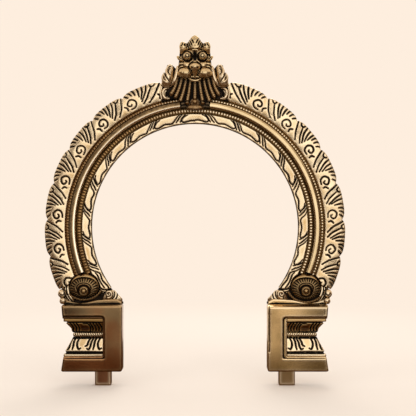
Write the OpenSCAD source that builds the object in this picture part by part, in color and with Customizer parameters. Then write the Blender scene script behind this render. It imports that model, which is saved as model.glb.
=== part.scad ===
// Brass prabhavali: a horseshoe halo arch on two pilaster feet, under a lion-faced crest.
// Each piece is drawn flat, with x to the right, y up the arch and z towards the viewer.
// upright() then stands it up, facing -Y, with the shoulders of the feet on the XY plane.

/* [Arch] */
// Radius of the opening
opening_r = 103; // [98:0.5:110]
// Height of the arch's centre above the shoulders of the feet
centre_h = 143; // [138:0.5:150]
// Thickness of the back plate
plate_t = 4; // [3:0.25:6]
// How far the back plate keeps inside the edge of the opening
plate_inset = 1.2; // [0.4:0.2:3]
// How far the flame border overhangs the back plate
border_overhang = 3.5; // [2.5:0.25:6]
// Width of the chased leaf band round the opening
leaf_band_w = 10.4; // [8:0.2:13]
// Thickness of the leaf band at its outer edge
leaf_band_t = 3.4; // [2.8:0.2:5]
// Drop of the leaf band's face towards the opening
leaf_band_fall = 1; // [0:0.1:1.6]
// Width of the inner bead strip
inner_bead_w = 5.8; // [4:0.2:8]
// Width of the roll moulding
roll_w = 6.2; // [5:0.2:8]
// Height of the roll moulding on the back plate
roll_t = 7; // [5:0.2:9]
// Width of the outer bead strip
outer_bead_w = 4.2; // [3:0.2:6]
// Thickness of the ground under each row of beads
bead_ground_t = 1.6; // [1:0.1:2.4]
// Radius of a bead
bead_r = 1.1; // [0.8:0.1:1.4]

/* [Flame border] */
// Width of the border, up to the tips of its lobes
border_w = 21; // [18:0.5:24]
// Thickness of the border at its two edges
border_edge_t = 2.4; // [1.8:0.1:3.4]
// Thickness of the border at its crown
border_crown_t = 3.8; // [3.5:0.1:5]
// Angle from one lobe to the next
lobe_pitch = 14.4; // [12:0.2:18]
// Depth of the notch between two lobes
notch_depth = 3; // [1:0.25:5]

/* [Crest] */
// Thickness of the crest's own plate
crest_plate_t = 4; // [3:0.25:6]
// Width of the crest where it stands between the two borders
crest_foot_w = 67; // [64:1:76]
// Width of the crest where it crosses the roll moulding
crest_neck_w = 29; // [26:1:36]
// Half width of the face
face_half_w = 17; // [15:0.5:19]
// Height of the face's dome on the crest plate
face_t = 7.6; // [5:0.2:10]
// Height of the eyes above the bead strip
eye_h = 42; // [40:0.5:44]
// Half distance between the eyes
eye_x = 7.8; // [6.5:0.1:9]
// Radius of an eye
eye_r = 4; // [3:0.1:5]
// Radius of the ring of the brow round an eye
brow_r = 1.2; // [0.8:0.1:1.8]
// Radius of an ear
ear_r = 3.2; // [2.4:0.1:4.4]
// Height of the nose above the bead strip
nose_h = 31.5; // [29:0.5:33]
// Radius of the nose
nose_r = 5.6; // [4.5:0.1:6.5]
// Height of the cheeks above the bead strip
cheek_h = 26; // [25:0.5:29]
// Half distance between the cheeks
cheek_x = 10.4; // [9:0.1:12]
// Radius of a cheek
cheek_r = 6.9; // [5.5:0.1:7.5]
// Radius of the lower lip
lip_r = 2.8; // [2:0.1:3.6]
// Height of the crown's foot above the bead strip
crown_foot_h = 48; // [46:0.5:50]
// Height of the crown's middle leaf
crown_leaf_h = 15; // [11:0.5:18]
// Height of the crown's side leaves
crown_side_h = 8; // [6:0.5:10]
// Half width of the crown
crown_half_w = 15; // [13:0.5:17]
// Thickness of the crown on the crest plate
crown_t = 5; // [3:0.5:8]
// Height of the beard's root above the bead strip
beard_root_h = 17; // [15:0.5:19]
// Number of flutes in the beard
flute_count = 9; // [7:2:11]
// Distance from one flute to the next at the root
flute_step = 3.2; // [2.8:0.1:3.6]
// Angle from one flute to the next
flute_fan = 6; // [4:0.5:7]
// Length of the middle flute
flute_len = 24; // [20:0.5:26]
// How much shorter each flute is than the one nearer to the middle
flute_fall = 2; // [1:0.1:2.5]
// Radius of a flute at its root
flute_root_r = 1.9; // [1.7:0.1:2.2]
// Radius of a flute at its tip
flute_tip_r = 2.6; // [2.2:0.1:3]
// Thickness of the ground under the flutes
beard_ground_t = 2; // [1.6:0.1:3]
// Radius of the bell at the beard's foot
bell_r = 7.4; // [5:0.2:9]
// Height of a side scroll's tip above the bead strip
scroll_tip_h = 32; // [28:0.5:34]
// Distance of a side scroll's tip from the middle
scroll_tip_x = 25; // [23:0.5:27]
// Radius of a side scroll at its lower end
scroll_r = 5.4; // [4:0.1:6]
// Radius of the curl under a side scroll
curl_r = 5.2; // [4.4:0.1:5.6]

/* [Rosettes and scrolls] */
// Radius of a rosette
rosette_r = 13.6; // [12:0.2:15]
// Height of a rosette's dome on the back plate
rosette_t = 8.5; // [7:0.5:10]
// Thickness of a rosette's ground
rosette_ground_t = 3; // [2:0.25:4]
// Radius of the round rim of a rosette
rosette_rim_r = 1.7; // [1:0.1:2.2]
// How far a rosette stands outside the line of the roll moulding
rosette_out = 4; // [0:0.5:6]
// Width of the collar under a rosette
collar_w = 2.4; // [1.6:0.2:3.6]
// Height of the collar on the back plate
collar_t = 4; // [3:0.25:6]
// Radius of the rivet head at a rosette's centre
boss_r = 4.8; // [4.2:0.2:6]
// Height of that rivet head
boss_t = 4; // [3:0.25:5]
// How deep that head is let into the rosette's dome
boss_sink = 2.8; // [1:0.2:3.4]
// How far the rivet sits below the rosette's middle
rivet_drop = 3; // [0:0.25:4]
// Radius of the scroll at the inner heel of a foot
heel_r = 5.8; // [4.8:0.1:6.4]
// Radius of the round wire of that scroll
heel_wire_r = 1.7; // [1.2:0.1:2]
// Height of the heel scroll's lower edge above the foot
heel_lift = 3; // [2:0.2:5]
// Radius of the larger ball at the outer toe of a foot
toe_r = 4.4; // [3.6:0.1:5]
// Radius of the smaller ball under it
toe_small_r = 3.6; // [3:0.1:4]

/* [Feet] */
// Height of a foot
foot_h = 66; // [62:0.5:70]
// Width of a foot
foot_w = 60.5; // [57:0.5:65]
// Thickness of a foot
foot_t = 18; // [16:0.5:22]
// How far a foot's inner side stands outside the edge of the opening
foot_set_out = 3.6; // [2:0.2:6]
// Width of the post at a foot's inner side
post_w = 19.2; // [17.5:0.2:22]
// Height of a foot's top bar
top_bar_h = 13.7; // [11:0.1:16]
// Height of a foot's bottom bar
base_bar_h = 14.6; // [13.6:0.1:17]
// Width of the sunk edge round a foot's front panel
panel_edge = 2.2; // [1:0.1:3]
// Height of the front panel over its sunk edge
panel_rise = 2; // [1:0.1:3]
// Thickness of the web behind the pilaster
web_t = 6; // [5:0.25:7]
// How far the web keeps inside the pilaster's neck
web_inset = 2; // [1:0.25:4]

/* [Pilaster] */
// Width of the capital and of the lotus base
pilaster_w = 39; // [36:0.5:40]
// Width of the neck between them
neck_w = 30.2; // [27:0.2:33]
// Depth of the capital and of the lotus base
pilaster_d = 9.5; // [8:0.25:10]
// Depth of the neck
neck_d = 5; // [4.5:0.1:6]
// Height of the beaded neck
neck_h = 4.6; // [3.6:0.2:6]
// Height of the capital
capital_h = 14; // [12:0.25:16]
// Height of the fillet at the capital's top and under the lotus base
fillet_h = 2.4; // [1.6:0.1:3.2]

/* [Tenons and pins] */
// Width of a tenon
tenon_w = 16; // [12:0.5:20]
// Thickness of a tenon
tenon_t = 12; // [9:0.5:13]
// Length of a tenon below the foot
tenon_len = 14.5; // [10:0.5:20]
// Length of a tenon let into the foot
tenon_let_in = 12.5; // [10:0.5:13]
// Bevel at a tenon's lower corners
tenon_bevel = 1; // [0.5:0.1:2]
// Distance of a tenon's middle from the foot's inner side
tenon_set_in = 19.5; // [18:0.5:24]
// Width of the back plate's tongue in a foot
tongue_w = 14; // [11:0.5:15]
// Length of the tongue
tongue_len = 42; // [36:1:46]
// Radius of the thick pins in the feet, the tenons, the rosettes and the crest
thick_pin_r = 2; // [1.5:0.1:2.5]
// Radius of the thin pins in the mouldings
thin_pin_r = 1.4; // [1:0.1:1.7]
// Height of a pin's domed head
pin_head_h = 1.4; // [1:0.1:1.8]
// Radius of a pin's head over the radius of the pin
pin_head_lap = 1.6; // [1:0.1:2]
// Depth of a thin pin in the border and in the leaf band
thin_pin_bite = 1.4; // [1:0.1:2]
// Depth of a thin pin in the roll moulding
roll_pin_bite = 3.5; // [2:0.25:4]
// Depth of a crest pin in the beard's ground
crest_pin_bite = 1.2; // [0.8:0.1:1.4]
// Metal left in front of the pins in a foot
foot_pin_cover = 4; // [3:0.25:6]
// Gap at each brazed joint
joint_gap = 0.1; // [0.05:0.05:0.2]
// Gap round a pin in its hole
pin_gap = 0.05; // [0.02:0.01:0.1]

/* [Hidden] */
$fn = 64;
left = -1;
right = 1;

// Tones of the brass, from the polished faces to the dark ground
polished_brass = "#dcbd84";
roll_brass = "#e3c996";
ground_brass = "#6b5230";
crest_brass = "#a5834c";
rosette_brass = "#7d5a2c";
foot_brass = "#b38f58";

// Radii of the arch's strips, from the opening outwards
inner_bead_r = opening_r + leaf_band_w;
roll_r = inner_bead_r + inner_bead_w;
roll_mid_r = roll_r + roll_w / 2;
outer_bead_r = roll_r + roll_w;
border_r = outer_bead_r + outer_bead_w;
rim_max_r = border_r + border_w;
plate_inner_r = opening_r + plate_inset;
plate_outer_r = rim_max_r - border_overhang;

// The tenons' middle plane is y = 0, so the back of the part is half a tenon behind it
back_y = tenon_t / 2;
far = 3 * rim_max_r;

// The feet stand where the edge of the opening comes down to their tops
foot_drop = centre_h - foot_h;
foot_x = sqrt(pow(opening_r, 2) - pow(foot_drop, 2)) + foot_set_out;
recess_h = foot_h - top_bar_h - base_bar_h;
recess_top = foot_h - top_bar_h;
tenon_x = foot_x + tenon_set_in;
tongue_x = foot_x + (post_w - tongue_w) / 2;

// A rosette's collar rests on the foot, just outside the line of the roll
collar_r = rosette_r + joint_gap + collar_w;
rosette_arm = roll_mid_r + rosette_out;
rosette_y = foot_h + collar_r;
rosette_angle = asin((rosette_y - centre_h) / rosette_arm);
rosette_x = rosette_arm * cos(rosette_angle);
rivet_y = rosette_y - rivet_drop;
boss_seat = rosette_t - boss_sink;

// The heel scroll stands over the foot, with its edge on the edge of the opening
heel_arm = opening_r + heel_r;
heel_y = foot_h + heel_lift + heel_r;
heel_angle = asin((heel_y - centre_h) / heel_arm);
heel_x = heel_arm * cos(heel_angle);

// The toe's balls end the flame border over the foot's outer corner
toe_arm = rim_max_r - toe_r / 2;
toe_y = foot_h + 1.7 * toe_small_r + toe_r;
toe_angle = asin((toe_y - centre_h) / toe_arm);
toe_x = toe_arm * cos(toe_angle);
border_start = toe_angle + 2 * asin((toe_r + joint_gap) / (2 * toe_arm));

// The crest stands on the outer edge of the bead strips
crest_y = centre_h + border_r;
crest_z = plate_t + crest_plate_t;
scroll_foot_x = crest_foot_w / 2 - scroll_r - joint_gap;
curl_x = crest_foot_w / 2 - curl_r - joint_gap;
curl_y = curl_r - crest_foot_w / 40;
roll_end = acos((crest_neck_w / 2 + joint_gap) / roll_r);
border_end = acos((crest_foot_w / 2 + joint_gap) / border_r);

// Heights of the pilaster's parts inside the foot's recess
capital_y = recess_top - joint_gap - capital_h;
neck_y = capital_y - neck_h;

// Places of the pins along the right half of the arch
border_pin_arm = border_r + (plate_outer_r - border_r) / 2;
leaf_pin_arm = opening_r + leaf_band_w / 2;
border_pin_angles = [-12, 16, 42, 66];
leaf_pin_angles = [-22, 12, 46, 80];
roll_pin_angles = [-8, 28, 62];
thin_pin_len = plate_t + thin_pin_bite;
roll_pin_len = plate_t + roll_pin_bite;
crest_pin_len = crest_z + crest_pin_bite;
foot_pin_len = foot_t - foot_pin_cover;
tenon_pin_len = min(tenon_t + (foot_t - tenon_t) / 2, foot_pin_len + panel_rise);

// Radius of the ball that makes a low dome of a given foot radius and height
function dome_r(foot, height) = (foot * foot + height * height) / (2 * height);

// Right half of an outline, closed with its mirror image
function mirrored(half) = concat(half, [for (i = [len(half) - 1 : -1 : 0]) [-half[i][0], half[i][1]]]);

// Stands a flat drawing up, with its back at back_y
module upright() {
    translate([0, back_y, 0]) rotate([90, 0, 0]) children();
}

// The right piece as drawn, or its mirror image on the left
module on_side(side) {
    upright() mirror([side == left ? 1 : 0, 0, 0]) children();
}

// Something at both sides of the arch
module both_sides() {
    children();
    mirror([1, 0, 0]) children();
}

// Something at every listed angle, at one distance from the arch's centre
module along(arm, angles) {
    translate([0, centre_h, 0]) for (a = angles) rotate([0, 0, a]) translate([arm, 0, 0]) children();
}

// A strip of the arch: a profile on the back plate, swept from one angle to another
module sweep(from, to, start_r) {
    translate([0, centre_h, plate_t]) rotate([0, 0, from])
        rotate_extrude(angle = to - from) translate([start_r, 0]) children();
}

// A low dome with its foot on z = 0
module dome(foot, height) {
    ball = dome_r(foot, height);
    intersection() {
        translate([0, 0, height - ball]) sphere(r = ball);
        cylinder(r = foot, h = height);
    }
}

// Room for a rosette and its collar in the strips beside it
module rosette_room() {
    translate([rosette_x, rosette_y, 0]) cylinder(r = collar_r + joint_gap, h = far);
}

// Hole for a pin that comes in from the back
module pin_hole(r, len) {
    translate([0, 0, -1]) cylinder(r = r + pin_gap, h = len + 1 + joint_gap);
}

// Pin with a low domed head on the back
module pin(r, len) {
    cylinder(r = r, h = len);
    mirror([0, 0, 1]) dome(r + pin_head_lap, pin_head_h);
}

// Places of the two crest pins
module crest_pin_places() {
    both_sides() translate([crest_neck_w / 4, crest_y + thick_pin_r, 0]) children();
}

// Places of the two pins in the right foot's tongue
module foot_pin_places() {
    for (drop = [tongue_len / 4, tongue_len * 3 / 4])
        translate([tongue_x + tongue_w / 2, foot_h - drop, 0]) children();
}

// Place of the right tenon's pin
module tenon_pin_place() {
    translate([tenon_x, tenon_let_in / 2, 0]) children();
}

// Back plate of the arch, with a tongue into each foot
module arch_plate() {
    color(ground_brass) upright() difference() {
        union() {
            linear_extrude(plate_t) difference() {
                translate([0, centre_h]) circle(r = plate_outer_r);
                translate([0, centre_h]) circle(r = plate_inner_r);
                translate([-far / 2, foot_h - far]) square([far, far]);
                translate([-foot_x, 0]) square([2 * foot_x, centre_h]);
            }
            both_sides() translate([tongue_x, foot_h - tongue_len, 0])
                cube([tongue_w, tongue_len + plate_t, plate_t]);
        }
        both_sides() {
            along(border_pin_arm, border_pin_angles) pin_hole(thin_pin_r, plate_t);
            along(leaf_pin_arm, leaf_pin_angles) pin_hole(thin_pin_r, plate_t);
            along(roll_mid_r, roll_pin_angles) pin_hole(thin_pin_r, plate_t);
            translate([rosette_x, rivet_y, 0]) pin_hole(thick_pin_r, plate_t);
            foot_pin_places() pin_hole(thick_pin_r, plate_t);
        }
        crest_pin_places() pin_hole(thick_pin_r, plate_t);
    }
}

// Chased band round the opening, down to the two heel scrolls
module leaf_band() {
    edge_t = leaf_band_t - leaf_band_fall;
    width = leaf_band_w - joint_gap;
    color(polished_brass) upright() difference() {
        sweep(heel_angle, 180 - heel_angle, opening_r)
            polygon([[0, 0], [width, 0], [width, leaf_band_t], [0, edge_t]]);
        both_sides() {
            rosette_room();
            translate([heel_x, heel_y, 0]) cylinder(r = heel_r + joint_gap, h = far);
            along(leaf_pin_arm, leaf_pin_angles) pin_hole(thin_pin_r, thin_pin_len);
        }
    }
}

// Profile of a strip with a round row of beads along its middle
module bead_profile(width) {
    square([width, bead_ground_t]);
    translate([width / 2, bead_ground_t]) intersection() {
        circle(r = bead_r);
        translate([-bead_r, -bead_ground_t / 2]) square(2 * bead_r);
    }
}

// Row of beads inside the roll, from rosette to rosette
module inner_bead_strip() {
    color(ground_brass) upright() difference() {
        sweep(rosette_angle, 180 - rosette_angle, inner_bead_r) bead_profile(inner_bead_w - joint_gap);
        both_sides() rosette_room();
    }
}

// Row of beads outside the roll, from a rosette to the crest
module outer_bead_strip(side) {
    color(ground_brass) on_side(side) difference() {
        sweep(rosette_angle, roll_end, outer_bead_r) bead_profile(outer_bead_w - joint_gap);
        rosette_room();
    }
}

// Half-round bar between the two rows of beads
module roll_moulding(side) {
    width = roll_w - joint_gap;
    color(roll_brass) on_side(side) difference() {
        sweep(rosette_angle, roll_end, roll_r) {
            square([width, roll_t - width / 2]);
            translate([width / 2, roll_t - width / 2]) circle(d = width);
        }
        rosette_room();
        along(roll_mid_r, roll_pin_angles) pin_hole(thin_pin_r, roll_pin_len);
    }
}

// Radius of the border's rim at an angle: round lobes with sharp notches between them
function rim_r(angle) =
    let (t = ((border_end - angle) / lobe_pitch) % 1)
    rim_max_r - notch_depth * pow(abs(2 * t - 1), 5);

// Cast border with a scalloped rim, thickest along its crown
module flame_border(side) {
    steps = 10 * ceil((border_end - border_start) / lobe_pitch);
    step = (border_end - border_start) / steps;
    crown_r = dome_r(border_w / 2, border_crown_t - border_edge_t);
    color(polished_brass) on_side(side) difference() {
        intersection() {
            translate([0, centre_h, plate_t]) rotate_extrude() translate([border_r, 0]) intersection() {
                square([border_w + 1, border_crown_t]);
                translate([border_w / 2, border_crown_t - crown_r]) circle(r = crown_r);
            }
            translate([0, centre_h, 0]) linear_extrude(crest_z + border_crown_t) polygon(concat([[0, 0]], [
                for (i = [0 : steps])
                    let (a = border_start + i * step)
                    rim_r(a) * [cos(a), sin(a)]
            ]));
        }
        rosette_room();
        along(border_pin_arm, border_pin_angles) pin_hole(thin_pin_r, thin_pin_len);
    }
}

// Crest plate, standing on the arch between the two borders
module crest_plate() {
    color(crest_brass) upright() difference() {
        translate([0, 0, plate_t]) linear_extrude(crest_plate_t) {
            difference() {
                translate([0, crest_y]) polygon(mirrored([
                    [crest_foot_w / 2, -crest_foot_w / 4],
                    [crest_foot_w / 2, curl_y + curl_r],
                    [scroll_tip_x + scroll_r / 2, scroll_tip_h],
                    [scroll_tip_x - scroll_r / 2, scroll_tip_h],
                    [face_half_w, cheek_h],
                    [crown_half_w, crown_foot_h],
                    [crown_half_w * 3 / 4, crown_foot_h + crown_side_h / 2],
                    [0, crown_foot_h + crown_leaf_h * 3 / 4]
                ]));
                translate([0, centre_h]) circle(r = border_r + joint_gap);
            }
            translate([-crest_neck_w / 2, centre_h + roll_r + joint_gap])
                square([crest_neck_w, crest_y - centre_h - roll_r]);
        }
        crest_pin_places() pin_hole(thick_pin_r, crest_z);
    }
}

// Keeps what stands in front of the crest plate, between two heights
module on_crest(from_h, to_h) {
    color(crest_brass) upright() translate([0, crest_y, crest_z]) intersection() {
        union() children();
        translate([-far / 2, from_h, 0]) cube([far, to_h - from_h, far]);
    }
}

// Lion face: a low dome with eyes in brow rings, ears, nose, cheeks and a lip
module mask_face() {
    face_ball = dome_r(face_half_w, face_t);
    on_crest(beard_root_h, crown_foot_h) {
        translate([0, (crown_foot_h + beard_root_h) / 2, face_t - face_ball]) sphere(r = face_ball);
        translate([0, nose_h, face_t + nose_r / 3]) sphere(r = nose_r);
        translate([0, beard_root_h + lip_r, face_t / 2]) sphere(r = lip_r);
        both_sides() {
            translate([cheek_x, cheek_h, face_t * 2 / 3]) sphere(r = cheek_r);
            translate([eye_x, eye_h, face_t * 2 / 3]) sphere(r = eye_r);
            translate([eye_x, eye_h, face_t * 2 / 3]) rotate_extrude() translate([eye_r + brow_r / 2, 0])
                circle(r = brow_r);
            translate([face_half_w - ear_r / 2, eye_h - ear_r, 0]) sphere(r = ear_r);
        }
    }
}

// One pointed leaf of the crown, with round sides and a midrib
module crown_leaf(half_w, leaf_h) {
    side_r = dome_r(leaf_h, half_w);
    linear_extrude(crown_t) intersection() {
        translate([side_r - half_w, 0]) circle(r = side_r);
        translate([half_w - side_r, 0]) circle(r = side_r);
        translate([-half_w, 0]) square([2 * half_w, leaf_h]);
    }
    translate([0, 0, crown_t]) rotate([-90, 0, 0])
        cylinder(r1 = half_w / 4, r2 = half_w / 16, h = leaf_h * 0.85);
}

// Crown of three leaves over the brow
module mask_crown() {
    on_crest(crown_foot_h + joint_gap, crown_foot_h + 2 * crown_leaf_h) {
        translate([0, crown_foot_h, 0]) crown_leaf(crown_half_w / 2, crown_leaf_h);
        both_sides() translate([crown_half_w * 3 / 4, crown_foot_h, 0])
            crown_leaf(crown_half_w / 4 + joint_gap, crown_side_h);
        translate([-crown_half_w, crown_foot_h, 0]) cube([2 * crown_half_w, crown_side_h / 4, crown_t / 2]);
    }
}

// Beard of fanned flutes, with a bell at the foot that covers the ends of the roll
module mask_beard() {
    last = (flute_count - 1) / 2;
    last_x = last * flute_step;
    last_len = flute_len - last * flute_fall;
    foot = roll_r + joint_gap - border_r;
    tip_x = last_x + last_len * sin(last * flute_fan);
    difference() {
        on_crest(foot, beard_root_h - joint_gap) {
            for (i = [-last : last]) {
                len = flute_len - abs(i) * flute_fall;
                translate([i * flute_step, beard_root_h, flute_root_r / 2]) rotate([90, 0, i * flute_fan])
                    rotate_extrude() polygon([
                        [0, 0], [flute_root_r, 0], [flute_tip_r, len],
                        [0.8 * flute_tip_r, len + 0.6 * flute_tip_r], [0, len + flute_tip_r]
                    ]);
            }
            linear_extrude(beard_ground_t) polygon(mirrored([
                [last_x, beard_root_h],
                [tip_x, beard_root_h - last_len],
                [0, beard_root_h - flute_len]
            ]));
            translate([0, foot, 0]) rotate([-90, 0, 0])
                cylinder(r1 = bell_r, r2 = flute_tip_r, h = border_r - roll_r);
        }
        upright() crest_pin_places() pin_hole(thick_pin_r, crest_pin_len);
    }
}

// Leaf scroll beside the face: a leaning body over a round curl
module side_scroll(side) {
    rise = scroll_tip_h - curl_y - curl_r;
    shift = scroll_foot_x - scroll_tip_x;
    wire = curl_r / 2.6;
    on_crest(-crest_foot_w, crown_foot_h) mirror([side == left ? 1 : 0, 0, 0]) {
        translate([scroll_tip_x, scroll_tip_h, 0]) rotate([90, 0, atan(shift / rise)]) {
            cylinder(r1 = scroll_r * 2 / 3, r2 = scroll_r, h = norm([rise, shift]));
        }
        translate([curl_x, curl_y, wire / 2]) {
            rotate_extrude() translate([curl_r - wire, 0]) circle(r = wire);
            sphere(r = wire);
            translate([0, 0, -wire]) cylinder(r = curl_r - wire, h = wire);
        }
    }
}

// Domed rosette with a round rim and a flat seat for its rivet
module rosette(side) {
    dome_foot = rosette_r - 2 * rosette_rim_r;
    dome_rise = rosette_t - rosette_ground_t;
    color(rosette_brass) on_side(side) translate([rosette_x, rosette_y, plate_t]) difference() {
        union() {
            rotate_extrude() {
                square([rosette_r, rosette_ground_t]);
                translate([rosette_r - rosette_rim_r, rosette_ground_t]) circle(r = rosette_rim_r);
            }
            translate([0, 0, rosette_ground_t]) dome(dome_foot, dome_rise);
        }
        translate([0, -rivet_drop, 0]) {
            pin_hole(thick_pin_r, rosette_t);
            translate([0, 0, boss_seat]) cylinder(r = boss_r + joint_gap, h = rosette_t);
        }
    }
}

// Rivet through a rosette and the back plate, with a high domed head in front
module rosette_rivet(side) {
    len = plate_t + boss_seat;
    color(crest_brass) on_side(side) translate([rosette_x, rivet_y, 0]) {
        pin(thick_pin_r, len);
        translate([0, 0, len]) dome(boss_r, boss_t);
    }
}

// Collar under a rosette, resting on the foot
module rosette_collar(side) {
    color(ground_brass) on_side(side) translate([rosette_x, rosette_y, plate_t]) rotate([0, 0, 195])
        rotate_extrude(angle = 150) translate([rosette_r + joint_gap, 0]) square([collar_w, collar_t]);
}

// Round scroll over the inner heel of a foot
module heel_scroll(side) {
    color(crest_brass) on_side(side) translate([heel_x, heel_y, plate_t]) {
        cylinder(r = heel_r, h = heel_wire_r);
        translate([0, 0, heel_wire_r]) rotate_extrude() translate([heel_r - heel_wire_r, 0])
            circle(r = heel_wire_r);
        translate([0, 0, 1.6 * heel_wire_r]) sphere(r = 1.4 * heel_wire_r);
    }
}

// Two balls over the outer toe of a foot, where the flame border ends
module toe_curl(side) {
    color(crest_brass) on_side(side) intersection() {
        union() {
            translate([toe_x, toe_y, plate_t + toe_r / 2]) sphere(r = toe_r);
            translate([toe_x, foot_h + 0.9 * toe_small_r, plate_t + toe_r / 2]) sphere(r = toe_small_r);
        }
        translate([0, foot_h, plate_t]) cube(far);
    }
}

// Front outline of a foot, drawn in from its edges: a post and two bars round an open recess
module foot_outline(inset) {
    difference() {
        translate([foot_x + inset, inset]) square([foot_w - 2 * inset, foot_h - 2 * inset]);
        translate([foot_x + post_w - inset, base_bar_h - inset]) square([foot_w, recess_h + 2 * inset]);
    }
}

// Cast foot, with seats in its back for the tongue and the tenon
module foot_frame(side) {
    color(foot_brass) on_side(side) difference() {
        union() {
            linear_extrude(foot_t - panel_rise) foot_outline(0);
            linear_extrude(foot_t) foot_outline(panel_edge);
            translate([foot_x, 0, 0]) cube([post_w + neck_w - web_inset, foot_h, web_t]);
        }
        translate([tongue_x - joint_gap, foot_h - tongue_len - joint_gap, -1])
            cube([tongue_w + 2 * joint_gap, far, plate_t + joint_gap + 1]);
        translate([tenon_x - tenon_w / 2 - joint_gap, -1, -1])
            cube([tenon_w + 2 * joint_gap, tenon_let_in + joint_gap + 1, tenon_t + joint_gap + 1]);
        foot_pin_places() pin_hole(thick_pin_r, foot_pin_len);
        tenon_pin_place() pin_hole(thick_pin_r, tenon_pin_len);
    }
}

// Half profile of a moulding from its lower edge to its upper edge, eased at both ends
function eased(lower, upper, from_y, to_y, steps = 10) = [
    for (i = [0 : steps])
        let (t = i / steps)
        [lower + (upper - lower) * (1 - cos(180 * t)) / 2, from_y + (to_y - from_y) * t]
];

// A moulding in the foot's recess that returns round its outer corner.
// widths and depths are half profiles, measured from the post and from the web.
module returned(side, widths, depths) {
    last = len(widths) - 1;
    x = foot_x + post_w + joint_gap;
    color(foot_brass) on_side(side) translate([x, 0, web_t]) intersection() {
        linear_extrude(pilaster_w) polygon(concat([[0, widths[last][1]], [0, widths[0][1]]], widths));
        rotate([0, 90, 0]) linear_extrude(pilaster_w) polygon(concat(
            [[0, depths[last][1]], [0, depths[0][1]]],
            [for (p = depths) [-p[0], p[1]]]
        ));
    }
}

// Capital that widens upwards to a square fillet
module capital(side) {
    top = recess_top - joint_gap;
    returned(
        side,
        concat(eased(neck_w, pilaster_w, capital_y, top - fillet_h), [[pilaster_w, top]]),
        concat(eased(neck_d, pilaster_d, capital_y, top - fillet_h), [[pilaster_d, top]])
    );
}

// Round bead between the capital and the lotus base
module neck_bead(side) {
    swell = neck_h / 4;
    round = [
        for (i = [0 : 12])
            let (a = 180 * i / 12)
            [swell * sin(a), neck_y + (neck_h - joint_gap) * (1 - cos(a)) / 2]
    ];
    returned(
        side,
        [for (p = round) [neck_w - swell + p[0], p[1]]],
        [for (p = round) [neck_d - swell + p[0], p[1]]]
    );
}

// Lotus base that widens downwards to a square fillet
module lotus_base(side) {
    foot = base_bar_h;
    top = neck_y - joint_gap;
    returned(
        side,
        concat([[pilaster_w, foot]], eased(pilaster_w, neck_w, foot + fillet_h, top)),
        concat([[pilaster_d, foot]], eased(pilaster_d, neck_d, foot + fillet_h, top))
    );
}

// Tenon under a foot, let into its back
module tenon(side) {
    half = tenon_w / 2;
    color(foot_brass) on_side(side) translate([tenon_x, 0, 0]) difference() {
        linear_extrude(tenon_t) polygon(mirrored([
            [half - tenon_bevel, -tenon_len],
            [half, -tenon_len + tenon_bevel],
            [half, tenon_let_in]
        ]));
        translate([-tenon_x, 0, 0]) tenon_pin_place() pin_hole(thick_pin_r, tenon_t);
    }
}

// Pins that hold the flame border and the leaf band
module moulding_pins() {
    color(ground_brass) upright() both_sides() {
        along(border_pin_arm, border_pin_angles) pin(thin_pin_r, thin_pin_len);
        along(leaf_pin_arm, leaf_pin_angles) pin(thin_pin_r, thin_pin_len);
    }
}

// Pins that hold the roll
module roll_pins() {
    color(ground_brass) upright() both_sides() along(roll_mid_r, roll_pin_angles) pin(thin_pin_r, roll_pin_len);
}

// Pins that hold the crest
module crest_pins() {
    color(ground_brass) upright() crest_pin_places() pin(thick_pin_r, crest_pin_len);
}

// Pins that hold the back plate's tongues in the feet
module foot_pins() {
    color(ground_brass) upright() both_sides() foot_pin_places() pin(thick_pin_r, foot_pin_len);
}

// Pins that hold the tenons
module tenon_pins() {
    color(ground_brass) upright() both_sides() tenon_pin_place() pin(thick_pin_r, tenon_pin_len);
}

arch_plate();
leaf_band();
inner_bead_strip();
roll_moulding(left);  // roll_moulding_left
roll_moulding(right);  // roll_moulding_right
outer_bead_strip(left);  // outer_bead_strip_left
outer_bead_strip(right);  // outer_bead_strip_right
flame_border(left);  // flame_border_left
flame_border(right);  // flame_border_right
crest_plate();
mask_face();
mask_crown();
mask_beard();
side_scroll(left);  // side_scroll_left
side_scroll(right);  // side_scroll_right
rosette(left);  // rosette_left
rosette(right);  // rosette_right
rosette_rivet(left);  // rosette_rivet_left
rosette_rivet(right);  // rosette_rivet_right
rosette_collar(left);  // rosette_collar_left
rosette_collar(right);  // rosette_collar_right
heel_scroll(left);  // heel_scroll_left
heel_scroll(right);  // heel_scroll_right
toe_curl(left);  // toe_curl_left
toe_curl(right);  // toe_curl_right
foot_frame(left);  // foot_frame_left
foot_frame(right);  // foot_frame_right
capital(left);  // capital_left
capital(right);  // capital_right
neck_bead(left);  // neck_bead_left
neck_bead(right);  // neck_bead_right
lotus_base(left);  // lotus_base_left
lotus_base(right);  // lotus_base_right
tenon(left);  // tenon_left
tenon(right);  // tenon_right
moulding_pins();
roll_pins();
crest_pins();
foot_pins();
tenon_pins();
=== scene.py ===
"""Dresses a packed brass prabhavali: a horseshoe halo arch on two pilaster feet, under a lion-faced crest.

The arch is drawn flat, in millimetres: x to the right, u up from the underside of the feet, and h
towards the viewer from the back of the plate. place() stands a drawing up in the frame.
"""

import math

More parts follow.
